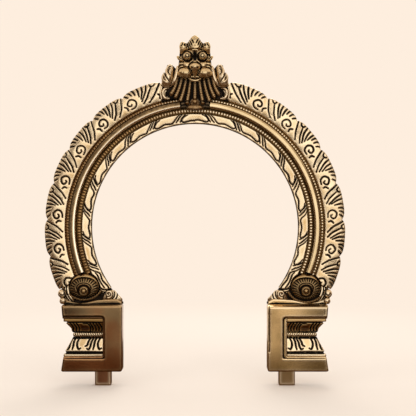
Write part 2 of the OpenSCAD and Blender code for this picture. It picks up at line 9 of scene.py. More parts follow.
import bmesh
import bpy
import numpy as np
import openvdb
from bpy.props import FloatProperty, FloatVectorProperty, IntProperty, PointerProperty
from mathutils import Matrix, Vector


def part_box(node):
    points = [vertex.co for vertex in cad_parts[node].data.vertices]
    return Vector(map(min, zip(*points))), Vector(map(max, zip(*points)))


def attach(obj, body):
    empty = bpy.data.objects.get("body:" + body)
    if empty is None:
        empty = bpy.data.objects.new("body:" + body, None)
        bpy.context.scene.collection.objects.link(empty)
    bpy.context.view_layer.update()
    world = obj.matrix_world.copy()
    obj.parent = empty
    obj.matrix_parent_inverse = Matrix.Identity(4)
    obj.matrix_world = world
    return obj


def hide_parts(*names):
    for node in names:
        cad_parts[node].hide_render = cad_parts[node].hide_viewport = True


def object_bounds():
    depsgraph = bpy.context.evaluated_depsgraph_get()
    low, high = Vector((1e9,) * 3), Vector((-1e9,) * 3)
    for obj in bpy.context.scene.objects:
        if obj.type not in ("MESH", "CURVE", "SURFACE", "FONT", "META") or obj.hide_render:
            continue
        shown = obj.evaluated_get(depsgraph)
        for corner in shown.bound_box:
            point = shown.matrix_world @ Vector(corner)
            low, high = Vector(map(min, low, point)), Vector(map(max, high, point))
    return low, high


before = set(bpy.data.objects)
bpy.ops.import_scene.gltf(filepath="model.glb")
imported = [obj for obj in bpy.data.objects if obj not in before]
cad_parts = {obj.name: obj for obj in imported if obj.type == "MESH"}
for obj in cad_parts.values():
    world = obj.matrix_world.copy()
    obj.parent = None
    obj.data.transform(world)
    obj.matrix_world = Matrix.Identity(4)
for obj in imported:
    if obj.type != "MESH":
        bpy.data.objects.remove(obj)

bl_info = {
    "name": "Brass prabhavali",
    "version": (1, 0, 0),
    "blender": (4, 5, 0),
    "location": "3D View > Sidebar > Prabhavali",
    "description": "Chased and cast dress for a brass halo arch",
    "category": "Object",
}

MM = 0.001
CAD_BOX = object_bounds()
BACK_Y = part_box("arch_plate")[1][1]
SIDES = ("left", "right")


def span(node):
    """Lowest and highest (x, u, h) of a CAD node, in millimetres."""
    low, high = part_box(node)
    return (
        np.array([low[0], low[2], BACK_Y - high[1]]) / MM,
        np.array([high[0], high[2], BACK_Y - low[1]]) / MM,
    )


def middle(node):
    """Middle of a CAD node's box, as (x, u, h)."""
    low, high = span(node)
    return (low + high) / 2


# Radii of the arch's strips, from the opening outwards, and the height of its centre
JOINT_GAP = 0.1
PLATE_H = span("arch_plate")[1][2]
ARCH_U = span("arch_plate")[1][1] - span("arch_plate")[1][0]
LEAF_OUT_R = span("leaf_band")[1][0]
BEADS_IN_R = LEAF_OUT_R + JOINT_GAP
BEADS_OUT_R = span("inner_bead_strip")[1][0]
ROLL_IN_R = BEADS_OUT_R + JOINT_GAP
ROLL_OUT_R = span("roll_moulding_right")[1][0]
FAR_BEADS_IN_R = ROLL_OUT_R + JOINT_GAP
FAR_BEADS_OUT_R = span("outer_bead_strip_right")[1][0]
BORDER_IN_R = FAR_BEADS_OUT_R + JOINT_GAP
RIM_R = span("flame_border_right")[1][0]

# Angles where the strips end, above the horizontal through the arch's centre
CREST_X = span("crest_plate")[1][0] + JOINT_GAP
BORDER_END = math.degrees(math.acos(CREST_X / BORDER_IN_R))
BORDER_START = math.degrees(math.asin((span("flame_border_right")[0][1] - ARCH_U) / RIM_R))
ROLL_END = math.degrees(math.acos(span("roll_moulding_right")[0][0] / ROLL_IN_R))

# The rosettes, with the round room that the strips leave for them and their collars
ROSETTE = middle("rosette_right")
RIVET = middle("rosette_rivet_right")
COLLAR_R = span("rosette_collar_right")[1][0] - ROSETTE[0]
ROOM_R = COLLAR_R + JOINT_GAP
ROSETTE_ARM = math.hypot(ROSETTE[0], ROSETTE[1] - ARCH_U)
ROSETTE_ANGLE = math.degrees(math.atan2(ROSETTE[1] - ARCH_U, ROSETTE[0]))
HEEL = middle("heel_scroll_right")
HEEL_ANGLE = math.degrees(math.atan2(HEEL[1] - ARCH_U, HEEL[0]))

# The crest stands on the outer edge of the bead strips, in front of its own plate
CREST_U = ARCH_U + BORDER_IN_R
CREST_H = span("crest_plate")[1][2]


def srgb(code):
    """Linear colour, with full alpha, of an sRGB hex value."""
    parts = [int(code[i:i + 2], 16) / 255 for i in (1, 3, 5)]
    return [c / 12.92 if c <= 0.04045 else ((c + 0.055) / 1.055) ** 2.4 for c in parts] + [1.0]


def length(name, description, millimetres):
    """Property for a length, shown in the scene's units."""
    return FloatProperty(name=name, description=description, default=millimetres * MM, unit="LENGTH")


def turn(name, description, degrees):
    """Property for an angle."""
    return FloatProperty(name=name, description=description, default=math.radians(degrees), subtype="ANGLE")


def tint(name, description, code):
    """Property for a colour, from its sRGB hex value."""
    colour = srgb(code)
    return FloatVectorProperty(name=name, description=description, default=colour, size=4, subtype="COLOR")


class PrabhavaliSizes(bpy.types.PropertyGroup):
    """Sizes of the chasing and carving, and others that the boxes of the solids don't tell."""

    opening_r: length("Opening radius", "Radius of the arch's opening", 103)
    line_w: length("Chased line", "Width of a chased line", 1.5)
    line_d: length("Line depth", "Depth of a chased line", 0.7)
    lobe_pitch: turn("Lobe pitch", "Angle from one flame lobe to the next", 14.4)
    notch: length("Notch", "Depth of the notch between two lobes", 3)
    leaf_pitch: turn("Leaf pitch", "Angle from one leaf of the inner band to the next", 14.8)
    bead_r: length("Bead radius", "Radius of a bead beside the roll", 1.0)
    bead_pitch: length("Bead pitch", "Distance from bead to bead", 2.85)
    flutes: IntProperty(
        name="Rosette flutes", description="Number of fine flutes round a rosette's rim", default=30
    )
    fine_voxel: length("Fine carving", "Grain of the carved ornaments", 0.32)
    coarse_voxel: length("Coarse carving", "Grain of the plain cast feet", 0.55)
    camera_distance: length("Camera distance", "Distance of the camera from the arch", 1000)


class PrabhavaliColours(bpy.types.PropertyGroup):
    """Colours of the brass and of the stage."""

    bright: tint("Bright brass", "Polished brass on worn high places", "#EFD9B4")
    gold: tint("Gold brass", "Plain brass of the chased strips", "#E8D4AC")
    old: tint("Old brass", "Browned brass of the crest", "#7D5E3E")
    patina_and_shade: tint("Patina", "Dark oxide in lines and hollows", "#100A05")
    stage: tint("Stage", "Floor and background", "#FEEEDE")


def add_node(tree, kind, inputs=None, **settings):
    """Adds a node with its settings and links, and returns its first output in use."""
    made = tree.nodes.new(kind)
    for key, value in settings.items():
        setattr(made, key, value)
    for key, value in (inputs or {}).items():
        if isinstance(key, int):
            into = made.inputs[key]
        else:
            into = next(s for s in made.inputs if s.enabled and s.name == key)
        if isinstance(value, bpy.types.NodeSocket):
            tree.links.new(value, into)
        else:
            into.default_value = value
    return next((s for s in made.outputs if s.enabled), None)


def ramp(tree, value, start, end, low=0.0, high=1.0, **settings):
    """Value that goes from low to high while another goes from a start to an end."""
    return add_node(tree, "ShaderNodeMapRange", {
        "Value": value, "From Min": start, "From Max": end, "To Min": low, "To Max": high,
    }, **settings)


def maths(tree, operation, *values, **settings):
    """Result of an operation on up to three values."""
    return add_node(tree, "ShaderNodeMath", dict(enumerate(values)), operation=operation, **settings)


def mixed(tree, share, a, b):
    """Colour between two others, by the share of the second."""
    return add_node(tree, "ShaderNodeMix", {"Factor": share, "A": a, "B": b}, data_type="RGBA")


def parted(tree, vector):
    """The x, y and z of a vector in a tree."""
    return add_node(tree, "ShaderNodeSeparateXYZ", {"Vector": vector}).node.outputs


def place(points):
    """Points of the flat drawing, stood up in the frame, in metres."""
    x, u, h = np.asarray(points, dtype=np.float64).T
    return np.stack([x * MM, BACK_Y - h * MM, u * MM], axis=1)


def link(name, data):
    """New object in the scene."""
    made = bpy.data.objects.new(name, data)
    bpy.context.collection.objects.link(made)
    return made


def dress(piece, node):
    """Lets a finished piece ride on the arch and stand for a CAD node."""
    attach(piece, "root")
    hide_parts(node)
    return piece


def set_shade(mesh, label, values):
    """Stores a share of oxide and painted shade, or of worn polish and painted highlight, at every point of a
    mesh.
    """
    mesh.attributes.new(label, "FLOAT", "POINT").data.foreach_set("value", values.astype(np.float32))


def make_piece(node, craft, slot, metal, points, faces, shade):
    """Makes the piece for a CAD node, named for its craft, from a drawing with its oxide and painted shade,
    and its polish and painted highlights.
    """
    name = f"{node}_{craft}"
    mesh = bpy.data.meshes.new(name)
    mesh.from_pydata(place(points).tolist(), [], [face.tolist() for face in faces])
    mesh.update()
    for label, values in zip(("patina_and_shade", "wear"), shade):
        set_shade(mesh, label, values)
    mesh.shade_smooth()
    mesh.materials.append(metal)
    dress(link(name, mesh), node)


def make_side(node, side, craft, slot, metal, points, faces, shade):
    """Makes the piece of one side from the drawing of the right one, which the left one mirrors."""
    if side == "left":
        points = points * np.array([-1, 1, 1])
        faces = [face[::-1] for face in faces]
    make_piece(f"{node}_{side}", craft, slot, metal, points, faces, shade)


# Rounds of smoothing after which a surface's bend is measured, and the bend that counts as a full one
BEND_ROUNDS = (4, 12, 30)
FULL_BEND = 0.035


def hollows(points, faces, grain=1.0, soot=0.0):
    """Patina in hollows and wear on high places, from a surface's bends; soot adds patina and takes wear."""
    count = len(points)
    by_corners = {}
    for face in faces:
        by_corners.setdefault(len(face), []).append(face)
    groups = [np.array(group) for group in by_corners.values()]
    edges = [np.stack([group, np.roll(group, -1, axis=1)], axis=2).reshape(-1, 2) for group in groups]
    pairs = np.vstack(edges)
    valence = np.bincount(pairs.ravel(), minlength=count)
    tri = np.vstack([group[:, :3] for group in groups])
    facing = np.cross(points[tri[:, 1]] - points[tri[:, 0]], points[tri[:, 2]] - points[tri[:, 0]])
    normal = np.zeros_like(points)
    for axis in range(3):
        for corner in range(3):
            normal[:, axis] += np.bincount(tri[:, corner], facing[:, axis], minlength=count)
    normal /= np.linalg.norm(normal, axis=1, keepdims=True) + 1e-12
    smooth = points.copy()
    bends = []
    for step in range(1, BEND_ROUNDS[-1] + 1):
        mean = np.empty_like(smooth)
        for axis in range(3):
            values = smooth[:, axis]
            total = np.bincount(pairs[:, 0], values[pairs[:, 1]], minlength=count)
            total += np.bincount(pairs[:, 1], values[pairs[:, 0]], minlength=count)
            mean[:, axis] = total / np.maximum(valence, 1)
        smooth = mean
        if step in BEND_ROUNDS:
            inward = np.einsum("ij,ij->i", smooth - points, normal)
            bends.append(inward / (FULL_BEND * math.sqrt(step) * grain))
    fine, middling, broad = bends
    patina_and_shade = np.clip((fine + middling + broad) / 3 + soot, 0, 1)
    return patina_and_shade, np.clip(-(middling + broad) / 2 - soot, 0, 1)


def curve(points, steps=6):
    """Smooth path through the given points."""
    points = np.asarray(points, dtype=np.float64)
    ends = np.vstack([2 * points[0] - points[1], points, 2 * points[-1] - points[-2]])
    path = []
    for a, b, c, d in zip(ends, ends[1:], ends[2:], ends[3:]):
        for t in np.arange(steps) / steps:
            bow = (2 * a - 5 * b + 4 * c - d) * t ** 2
            twist = (3 * b - a - 3 * c + d) * t ** 3
            path.append(0.5 * (2 * b + (c - a) * t + bow + twist))
    return np.array(path + [points[-1]])


FAR_OFF = 99.0


def stroke_distance(across, along, points, half_w, ends=0.55):
    """Distance from a chased stroke in half widths, with the stroke narrower at its ends."""
    path = curve(points)
    run = np.linspace(0, 1, len(path))
    width = half_w * (ends + (1 - ends) * np.sin(math.pi * np.clip(run, 0.08, 0.92)) ** 0.6)
    best = np.full(np.broadcast(across, along).shape, FAR_OFF)
    for (ax, ay), (bx, by), wa, wb in zip(path, path[1:], width, width[1:]):
        dx, dy = bx - ax, by - ay
        t = np.clip(((across - ax) * dx + (along - ay) * dy) / (dx * dx + dy * dy + 1e-12), 0, 1)
        gap = np.hypot(across - ax - t * dx, along - ay - t * dy)
        best = np.minimum(best, gap / (wa + (wb - wa) * t))
    return best


def groove(distance):
    """How much of a chased line is at a distance in half widths: all of it inside, none far out."""
    t = np.clip((1.45 - distance) / 0.9, 0, 1)
    return t * t * (3 - 2 * t)


def beside(distance):
    """How much the metal at a distance from a chased line is drawn down with it."""
    return np.exp(-(distance / 2.6) ** 2)


def chased_depth(distance, line_d):
    """Depth of the chasing at a distance from its nearest line."""
    return line_d * (0.85 * groove(distance) + 0.16 * beside(distance))


def nearest_stroke(along, out, strokes, half_w, rng, hand):
    """Distance from the nearest of some strokes, each moved, wavering and as wide as a hand makes it."""
    shift, waver, widths = hand
    best = np.full(along.shape, FAR_OFF)
    for stroke in strokes:
        drawn = np.array(stroke) + rng.normal(0, shift, 2) + rng.normal(0, waver, (len(stroke), 2))
        best = np.minimum(best, stroke_distance(along, out, drawn, half_w * rng.uniform(*widths)))
    return best


def rounded(to_edge, radius):
    """Share of a strip's height at a distance from its edge, which is filed round."""
    return np.sqrt(np.clip(1 - (1 - np.clip(to_edge / radius, 0, 1)) ** 2, 0, 1))


def clear_of_rosette(angles, radius, beyond):
    """Radius of a strip's edge, moved beyond or short of the room for a rosette where it would cut it."""
    away = np.radians(angles - ROSETTE_ANGLE)
    chord = ROOM_R ** 2 - (ROSETTE_ARM * np.sin(away)) ** 2
    half = np.sqrt(np.maximum(chord, 0))
    along = ROSETTE_ARM * np.cos(away)
    moved = np.maximum(radius, along + half) if beyond else np.minimum(radius, along - half)
    return np.where((chord > 0) & (along > 0), moved, radius)


def strip_sheet(angles, inner, outer, rows, lean=None):
    """Points and faces of a closed strip of the arch, with its top's radii; lean turns points by radians."""
    cols = len(angles)
    even = np.linspace(0, 1, rows)
    fraction = (1 - np.cos(math.pi * even)) / 2 * 0.3 + even * 0.7
    radius = inner[:, None] + (outer - inner)[:, None] * fraction[None, :]
    level = np.zeros_like(radius)
    theta = np.radians(angles)[:, None] + (lean(angles[:, None], radius) if lean else level)
    top = np.stack([radius * np.cos(theta), ARCH_U + radius * np.sin(theta), level], axis=2)
    under = top[:, [0, -1]].transpose(1, 0, 2).reshape(-1, 3) + np.array([0, 0, PLATE_H])
    points = np.vstack([top.reshape(-1, 3), under])
    index = np.arange(cols * rows).reshape(cols, rows)
    low_in = cols * rows + np.arange(cols)
    low_out = low_in + cols
    a, b = slice(0, -1), slice(1, None)
    quads = [
        np.stack([index[a, a], index[a, b], index[b, b], index[b, a]], axis=2).reshape(-1, 4),
        np.stack([index[a, -1], low_out[a], low_out[b], index[b, -1]], axis=1),
        np.stack([index[a, 0], index[b, 0], low_in[b], low_in[a]], axis=1),
        np.stack([low_in[a], low_in[b], low_out[b], low_out[a]], axis=1),
    ]
    faces = list(np.vstack(quads))
    faces.append(np.array([index[0, 0], low_in[0], low_out[0], *index[0, :0:-1]]))
    faces.append(np.array([*index[-1, :], low_out[-1], low_in[-1]]))
    return points, faces, radius


def strip_shade(points, faces, height, ink, hollow):
    """Gives a strip's top its heights, and returns its darkening, from lines, hollows and any painted shade
    given with the ink, and its worn polish.
    """
    points[:height.size, 2] = height.ravel()
    patina_and_shade, wear = hollows(points, faces)
    patina_and_shade[:height.size] = np.maximum(hollow * patina_and_shade[:height.size], ink.ravel())
    return patina_and_shade, wear


# One flame of the border, spiral first: strokes along the arch towards the crest, and out from its middle
FLAME_STROKES = [
    [(-2.7, -4.9), (0.8, -4.6), (3.2, -2.6), (4.0, 0.4), (1.9, 3.3), (-0.6, 4.2), (-3.5, 2.9), (-4.6, 0.8),
     (-3.9, -0.9), (-1.8, -1.8), (-0.6, -0.6)],
    [(-8.9, 0.2), (-6.8, -1.7), (-7.2, -4.4)],
    [(-3.9, 10.2), (-2.6, 8.8), (-1.4, 7.2)],
    [(-0.6, 11.8), (1.2, 10.2), (2.3, 7.6)],
    [(3.5, 12.6), (5.0, 10.4), (5.6, 7.0)],
    [(8.1, 12.8), (8.7, 9.0), (8.4, 3.6)],
    [(12.6, 12.8), (12.0, 6.6), (9.4, 0.4)],
    [(17.0, 12.4), (15.2, 5.5), (10.0, -2.2)],
    [(20.6, 8.6), (18.4, 4.2), (15.4, -0.6), (10.8, -4.8)],
    [(28.2, 11.6), (25.6, 6.0), (22.0, -0.5), (16.8, -5.6)],
    [(19.4, 11.2), (20.4, 9.2), (22.6, 9.0), (24.0, 10.8)],
]
STIPPLE_EDGES = [[(19.8, 8.4), (14.2, -2.6)], [(26.6, 9.0), (19.4, -3.4)]]
DOT_PITCH = 1.3
SPIRAL_BEFORE_NOTCH = 12.0
FLAME_MID_R = 138.0
FLAME_RUN = (-13, 32)
# How far a stroke is moved, how much it wavers, and its least and greatest share of the full width
FLAME_HAND = (0.22, 0.12, (0.85, 1.2))
LEAF_HAND = (0.25, 0.15, (0.7, 0.95))


def flame_relief(angles, radius, notches, sizes, rng):
    """Depth of the chasing and share of dark line over a border, for one hand-made half."""
    out = radius - FLAME_MID_R
    depth = np.zeros_like(radius)
    ink = np.zeros_like(radius)
    for notch in notches:
        turned = np.radians(angles[:, None] - (notch - SPIRAL_BEFORE_NOTCH))
        run = turned * FLAME_MID_R + np.zeros_like(radius)
        near = (run[:, 0] > FLAME_RUN[0]) & (run[:, 0] < FLAME_RUN[1])
        if not near.any():
            continue
        s, t = run[near], out[near]
        distance = nearest_stroke(s, t, FLAME_STROKES, sizes.line_w / MM / 2, rng, FLAME_HAND)
        left, right = (np.interp(t, [by, ay], [bx, ax]) for (ax, ay), (bx, by) in STIPPLE_EDGES)
        leaf = np.clip(np.minimum(s - left, right - s), 0, 1)
        leaf = leaf * np.clip((8.6 - t) / 1.5, 0, 1) * np.clip(t + 3.6, 0, 1)
        dots = np.cos(2 * math.pi * s / DOT_PITCH) * np.cos(2 * math.pi * t / DOT_PITCH)
        stipple = leaf * np.clip(0.35 + 0.65 * dots, 0, 1)
        depth[near] = np.maximum(depth[near], chased_depth(distance, sizes.line_d / MM))
        depth[near] += 0.3 * stipple + 0.12 * leaf
        dark = np.maximum(groove(distance), 0.1 * beside(distance))
        ink[near] = np.maximum(ink[near], np.maximum(dark, 0.42 * stipple + 0.06 * leaf))
    return depth, ink


def make_borders(sizes, metal):
    """The two halves of the scalloped flame border, with their chasing."""
    pitch = math.degrees(sizes.lobe_pitch)
    angles = np.linspace(BORDER_START, BORDER_END, num=720)
    phase = ((BORDER_END - angles) / pitch) % 1
    outer = RIM_R - sizes.notch / MM * np.abs(2 * phase - 1) ** 5
    inner = clear_of_rosette(angles, BORDER_IN_R, beyond=True)
    top_h = span("flame_border_right")[1][2]
    edge_h = PLATE_H + (top_h - PLATE_H) * 0.62
    wall_h = PLATE_H + 1.1
    notches = [BORDER_END - k * pitch for k in range(-1, 8)]

    def towards_crest(at, radius):
        """Leans the last lobe so that its end stands upright against the crest's plate."""
        lean = np.arccos(CREST_X / radius) - np.arccos(CREST_X / BORDER_IN_R)
        return lean * np.clip(1 - (BORDER_END - at) / pitch, 0, 1) ** 2

    for seed, side in enumerate(SIDES, 7):
        points, faces, radius = strip_sheet(angles, inner, outer, rows=62, lean=towards_crest)
        depth, ink = flame_relief(angles, radius, notches, sizes, np.random.default_rng(seed))
        across = (radius - BORDER_IN_R) / (RIM_R - BORDER_IN_R)
        crown = edge_h + (top_h - edge_h) * (1 - (2 * across - 1) ** 2) + 0.25
        to_edge = np.minimum(radius - inner[:, None], outer[:, None] - radius)
        height = wall_h + (crown - wall_h - depth) * rounded(to_edge, 0.9)
        shade = strip_shade(points, faces, height, ink, 0.55)
        make_side("flame_border", side, "chased", "chased_brass", metal, points, faces, shade)


# One leaf of the inner band: its hooked outline, then two slanted lines before the next leaf
LEAF_STROKES = [
    [(6.3, 3.6), (3.2, 2.2), (0.9, 0.2), (-0.3, -1.8), (1.0, -3.2), (3.6, -3.3), (10.5, -2.0), (17.0, -3.0),
     (20.0, -1.6), (22.6, 1.2), (26.8, 4.6)],
    [(29.4, 4.4), (26.6, 1.9), (24.6, -0.6), (22.0, -3.0)],
    [(32.6, 4.8), (29.8, 2.0), (28.0, -0.4), (26.0, -2.8)],
]
# The lowest leaf of each side, counted from the top, is split along its middle
LAST_LEAF = 8
LEAF_SPLIT = [(3.0, 0.9), (10.0, 0.9), (17.0, 0.3), (20.5, 1.0)]
LEAF_MID_R = 108.6
LEAF_TOP_START = -13.5
LEAF_RUN = (-4, 36)


def make_leaf_band(sizes, metal):
    """The chased band round the opening, with its leaves leaning towards the crest on both sides."""
    opening_r = sizes.opening_r / MM
    heel_w = span("heel_scroll_right")[1][0] - HEEL[0] + JOINT_GAP
    start = HEEL_ANGLE + math.degrees(math.asin(heel_w / LEAF_MID_R))
    angles = np.linspace(start, 180 - start, num=1320)
    inner = np.full_like(angles, opening_r)
    outer = clear_of_rosette(np.minimum(angles, 180 - angles), LEAF_OUT_R, beyond=False)
    points, faces, radius = strip_sheet(angles, inner, outer, rows=32)
    rng = np.random.default_rng(11)
    out = radius - LEAF_MID_R
    arc = -np.radians(np.abs(90 - angles))[:, None] * LEAF_MID_R + np.zeros_like(radius)
    depth = np.zeros_like(radius)
    ink = np.zeros_like(radius)
    for half in (angles <= 90, angles > 90):
        for unit in range(10):
            run = arc - LEAF_TOP_START + unit * sizes.leaf_pitch * LEAF_MID_R
            near = half & (run[:, 0] > LEAF_RUN[0]) & (run[:, 0] < LEAF_RUN[1])
            if not near.any():
                continue
            strokes = [*LEAF_STROKES, LEAF_SPLIT] if unit == LAST_LEAF else LEAF_STROKES
            distance = nearest_stroke(run[near], out[near], strokes, sizes.line_w / MM / 2, rng, LEAF_HAND)
            ink[near] = np.maximum(ink[near], groove(distance))
            depth[near] = np.maximum(depth[near], chased_depth(distance, sizes.line_d / MM))
    fall = 1.0
    top = span("leaf_band")[1][2] - fall * (LEAF_OUT_R - radius) / (LEAF_OUT_R - opening_r)
    theta = np.radians(angles)[:, None]
    wave = 0.5 * np.sin(theta * 61) + 0.4 * np.sin(theta * 23)
    to_edge = np.minimum(radius - inner[:, None] - 0.4 - 0.35 * wave, (outer[:, None] - radius) * 1.3)
    wall_h = PLATE_H + 1.0
    height = wall_h + (top - wall_h - depth) * rounded(to_edge, 1.1)
    # Painted shade along both edges of the band, for its shadowed sides
    edge_shade = np.clip(1 - to_edge / 0.5, 0, 1) * 0.7
    shade = strip_shade(points, faces, height, np.maximum(ink, edge_shade), 0.5)
    make_piece("leaf_band", "chased", "chased_brass", metal, points, faces, shade)


def node_tree(name, floats, vectors):
    """New Geometry Nodes tree with named inputs, a metal among them, and what its Group Input gives."""
    tree = bpy.data.node_groups.new(name, "GeometryNodeTree")
    kinds = {"NodeSocketFloat": floats, "NodeSocketVector": vectors, "NodeSocketMaterial": ["Metal"]}
    for kind, labels in kinds.items():
        for label in labels:
            tree.interface.new_socket(name=label, in_out="INPUT", socket_type=kind)
    tree.interface.new_socket(name="Geometry", in_out="OUTPUT", socket_type="NodeSocketGeometry")
    return tree, add_node(tree, "NodeGroupInput").node.outputs


def grown(node, craft, tree, values):
    """Piece made by a Geometry Nodes tree, turned into a plain mesh with outward faces."""
    name = f"{node}_{craft}"
    piece = link(name, bpy.data.meshes.new(name))
    modifier = piece.modifiers.new("Grow", "NODES")
    modifier.node_group = tree
    for item in tree.interface.items_tree:
        if item.in_out == "INPUT":
            modifier[item.identifier] = values[item.name]
    depsgraph = bpy.context.evaluated_depsgraph_get()
    mesh = bpy.data.meshes.new_from_object(piece.evaluated_get(depsgraph), depsgraph=depsgraph)
    piece.modifiers.clear()
    piece.data = mesh
    mesh.name = name
    shell = bmesh.new()
    shell.from_mesh(mesh)
    bmesh.ops.remove_doubles(shell, verts=shell.verts, dist=1e-6)
    bmesh.ops.recalc_face_normals(shell, faces=shell.faces)
    shell.to_mesh(mesh)
    shell.free()
    return dress(piece, node)


def flat_arc(tree, given, resolution):
    """Arc of the arch, lying flat, that keeps a swept profile upright."""
    arc = add_node(tree, "GeometryNodeCurveArc", {
        "Resolution": resolution, "Radius": given["Radius"],
        "Start Angle": given["Start"], "Sweep Angle": given["Sweep"],
    })
    return add_node(tree, "GeometryNodeSetCurveNormal", {"Curve": arc}, mode="Z_UP")


def swept(tree, path, profile):
    """Solid bar with a profile all along a path."""
    return add_node(tree, "GeometryNodeCurveToMesh", {
        "Curve": path, "Profile Curve": profile, "Fill Caps": True,
    })


def smooth_shaded(tree, geometry):
    """Geometry that light runs over without facets."""
    return add_node(tree, "GeometryNodeSetShadeSmooth", {"Geometry": geometry, "Shade Smooth": True})


def stored(tree, geometry, label, value):
    """Geometry with a share of oxide and painted shade, or of worn polish and painted highlight."""
    return add_node(tree, "GeometryNodeStoreNamedAttribute", {
        "Geometry": geometry, "Name": label, "Value": value,
    }, data_type="FLOAT")


def finish_tree(tree, given, geometry):
    """Stands a tree's flat geometry up in its place, as one solid in its metal."""
    stood = add_node(tree, "GeometryNodeTransform", {
        "Geometry": geometry, "Rotation": (math.pi / 2, 0, 0), "Translation": given["Centre"],
    })
    solid = add_node(tree, "GeometryNodeRealizeInstances", {"Geometry": stood})
    clad = add_node(tree, "GeometryNodeSetMaterial", {"Geometry": solid, "Material": given["Metal"]})
    add_node(tree, "NodeGroupOutput", {"Geometry": clad})


# Half the width over which the beads change at the top, and their breadth and painted sheen, left and right
CHANGE_X = 60
BEAD_BREADTHS = (1.05, 0.72)
BEAD_SHEEN = (0.1, 0.9)
GROUND_PATINA = 0.38


def rightward(tree, left, right):
    """Value that changes over the top of the arch, from its left side to its right side."""
    here = add_node(tree, "GeometryNodeInputPosition")
    return ramp(tree, parted(tree, here)["X"], -CHANGE_X * MM, CHANGE_X * MM, left, right)


def bead_row_tree():
    """A flat ground swept round the arch, with a row of beads along it, broad on the left, and with painted
    sheen: dull on the left, bright on the right.
    """
    floats = ("Radius", "Start", "Sweep", "Width", "Ground", "Bead radius", "Pitch")
    tree, given = node_tree("Bead row", floats, ("Centre", "Bead shape"))
    path = flat_arc(tree, given, resolution=160)
    profile = add_node(tree, "GeometryNodeCurvePrimitiveQuadrilateral", {
        "Width": given["Width"], "Height": given["Ground"],
    })
    ground = stored(tree, swept(tree, path, profile), "patina_and_shade", GROUND_PATINA)
    spots = add_node(tree, "GeometryNodeResampleCurve", {
        "Curve": path, "Length": given["Pitch"],
    }, mode="LENGTH")
    bead = add_node(tree, "GeometryNodeMeshUVSphere", {
        "Segments": 8, "Rings": 6, "Radius": given["Bead radius"],
    })
    outward = add_node(tree, "FunctionNodeAlignRotationToVector", {
        "Vector": add_node(tree, "GeometryNodeInputPosition"),
    }, axis="X", pivot_axis="Z")
    breadth = add_node(tree, "ShaderNodeCombineXYZ", {
        "X": rightward(tree, *BEAD_BREADTHS), "Y": 1.0, "Z": 1.0,
    })
    shape = add_node(tree, "ShaderNodeVectorMath", {0: given["Bead shape"], 1: breadth}, operation="MULTIPLY")
    row = add_node(tree, "GeometryNodeInstanceOnPoints", {
        "Points": spots, "Instance": bead, "Rotation": outward, "Scale": shape,
    })
    lift = add_node(tree, "ShaderNodeCombineXYZ", {"Z": maths(tree, "MULTIPLY", given["Ground"], 0.5)})
    lifted = add_node(tree, "GeometryNodeTranslateInstances", {
        "Instances": row, "Translation": lift, "Local Space": False,
    })
    loose = add_node(tree, "GeometryNodeRealizeInstances", {"Geometry": lifted})
    # Painted sheen: the beads are dull on the left and bright on the right
    beads = stored(tree, smooth_shaded(tree, loose), "wear", rightward(tree, *BEAD_SHEEN))
    both = add_node(tree, "GeometryNodeJoinGeometry", {0: beads})
    tree.links.new(ground, both.node.inputs[0])
    finish_tree(tree, given, both)
    return tree


def roll_tree():
    """A bar with a round top and upright sides, swept along the arch."""
    floats = ("Radius", "Start", "Sweep", "Half width", "Rise", "Side")
    tree, given = node_tree("Roll moulding", floats, ("Centre",))
    circle = add_node(tree, "GeometryNodeCurvePrimitiveCircle", {
        "Resolution": 28, "Radius": given["Half width"],
    })
    low = maths(tree, "DIVIDE", given["Rise"], given["Half width"])
    round_bar = add_node(tree, "GeometryNodeTransform", {
        "Geometry": circle, "Scale": add_node(tree, "ShaderNodeCombineXYZ", {"X": 1.0, "Y": low, "Z": 1.0}),
    })
    parts = parted(tree, add_node(tree, "GeometryNodeInputPosition"))
    below = add_node(tree, "FunctionNodeCompare", {"A": parts["Y"], "B": 1e-6}, operation="GREATER_THAN")
    flat = add_node(tree, "ShaderNodeCombineXYZ", {"X": parts["X"], "Y": given["Side"]})
    profile = add_node(tree, "GeometryNodeSetPosition", {
        "Geometry": round_bar, "Selection": below, "Position": flat,
    })
    bar = swept(tree, flat_arc(tree, given, resolution=220), profile)
    finish_tree(tree, given, smooth_shaded(tree, bar))
    return tree


def room_angle(radius):
    """Angle where a strip of the arch, at a radius, meets the room round a rosette."""
    away = math.acos((radius ** 2 + ROSETTE_ARM ** 2 - ROOM_R ** 2) / (2 * radius * ROSETTE_ARM))
    return ROSETTE_ANGLE + math.degrees(away)


def arch_point(h):
    """Centre of the arch at a height above the back, in the frame."""
    return Vector((0, BACK_Y - h * MM, ARCH_U * MM))


def make_bead_strips(sizes, metal, shaded_metal):
    """The three rows of beads beside the roll; the outer one on the left is darker all over, as painted
    shade.
    """
    tree = bead_row_tree()
    start_in = room_angle((BEADS_IN_R + BEADS_OUT_R) / 2)
    start_out = room_angle((FAR_BEADS_IN_R + FAR_BEADS_OUT_R) / 2)
    far = (FAR_BEADS_IN_R, FAR_BEADS_OUT_R)
    rows = {
        "inner_bead_strip": (BEADS_IN_R, BEADS_OUT_R, start_in, 180 - start_in, metal),
        "outer_bead_strip_right": (*far, start_out, ROLL_END, metal),
        "outer_bead_strip_left": (*far, 180 - ROLL_END, 180 - start_out, shaded_metal),
    }
    for node, (inner, outer, start, end, row_metal) in rows.items():
        ground_t = span(node)[1][2] - PLATE_H - sizes.bead_r / MM - 0.3
        grown(node, "beaded", tree, {
            "Radius": (inner + outer) / 2 * MM, "Width": (outer - inner) * MM, "Ground": ground_t * MM,
            "Start": math.radians(start), "Sweep": math.radians(end - start),
            "Centre": arch_point(PLATE_H + ground_t / 2),
            "Bead radius": sizes.bead_r, "Bead shape": Vector((0.38 * (outer - inner), 1.15, 0.5)),
            "Pitch": sizes.bead_pitch, "Metal": row_metal,
        })


# Rise of a roll's round top, as a share of its half width, and the most painted shade on the left one's outer
# side
ROLL_RISE = 0.42
ROLL_PAINTED_SHADE = 0.36


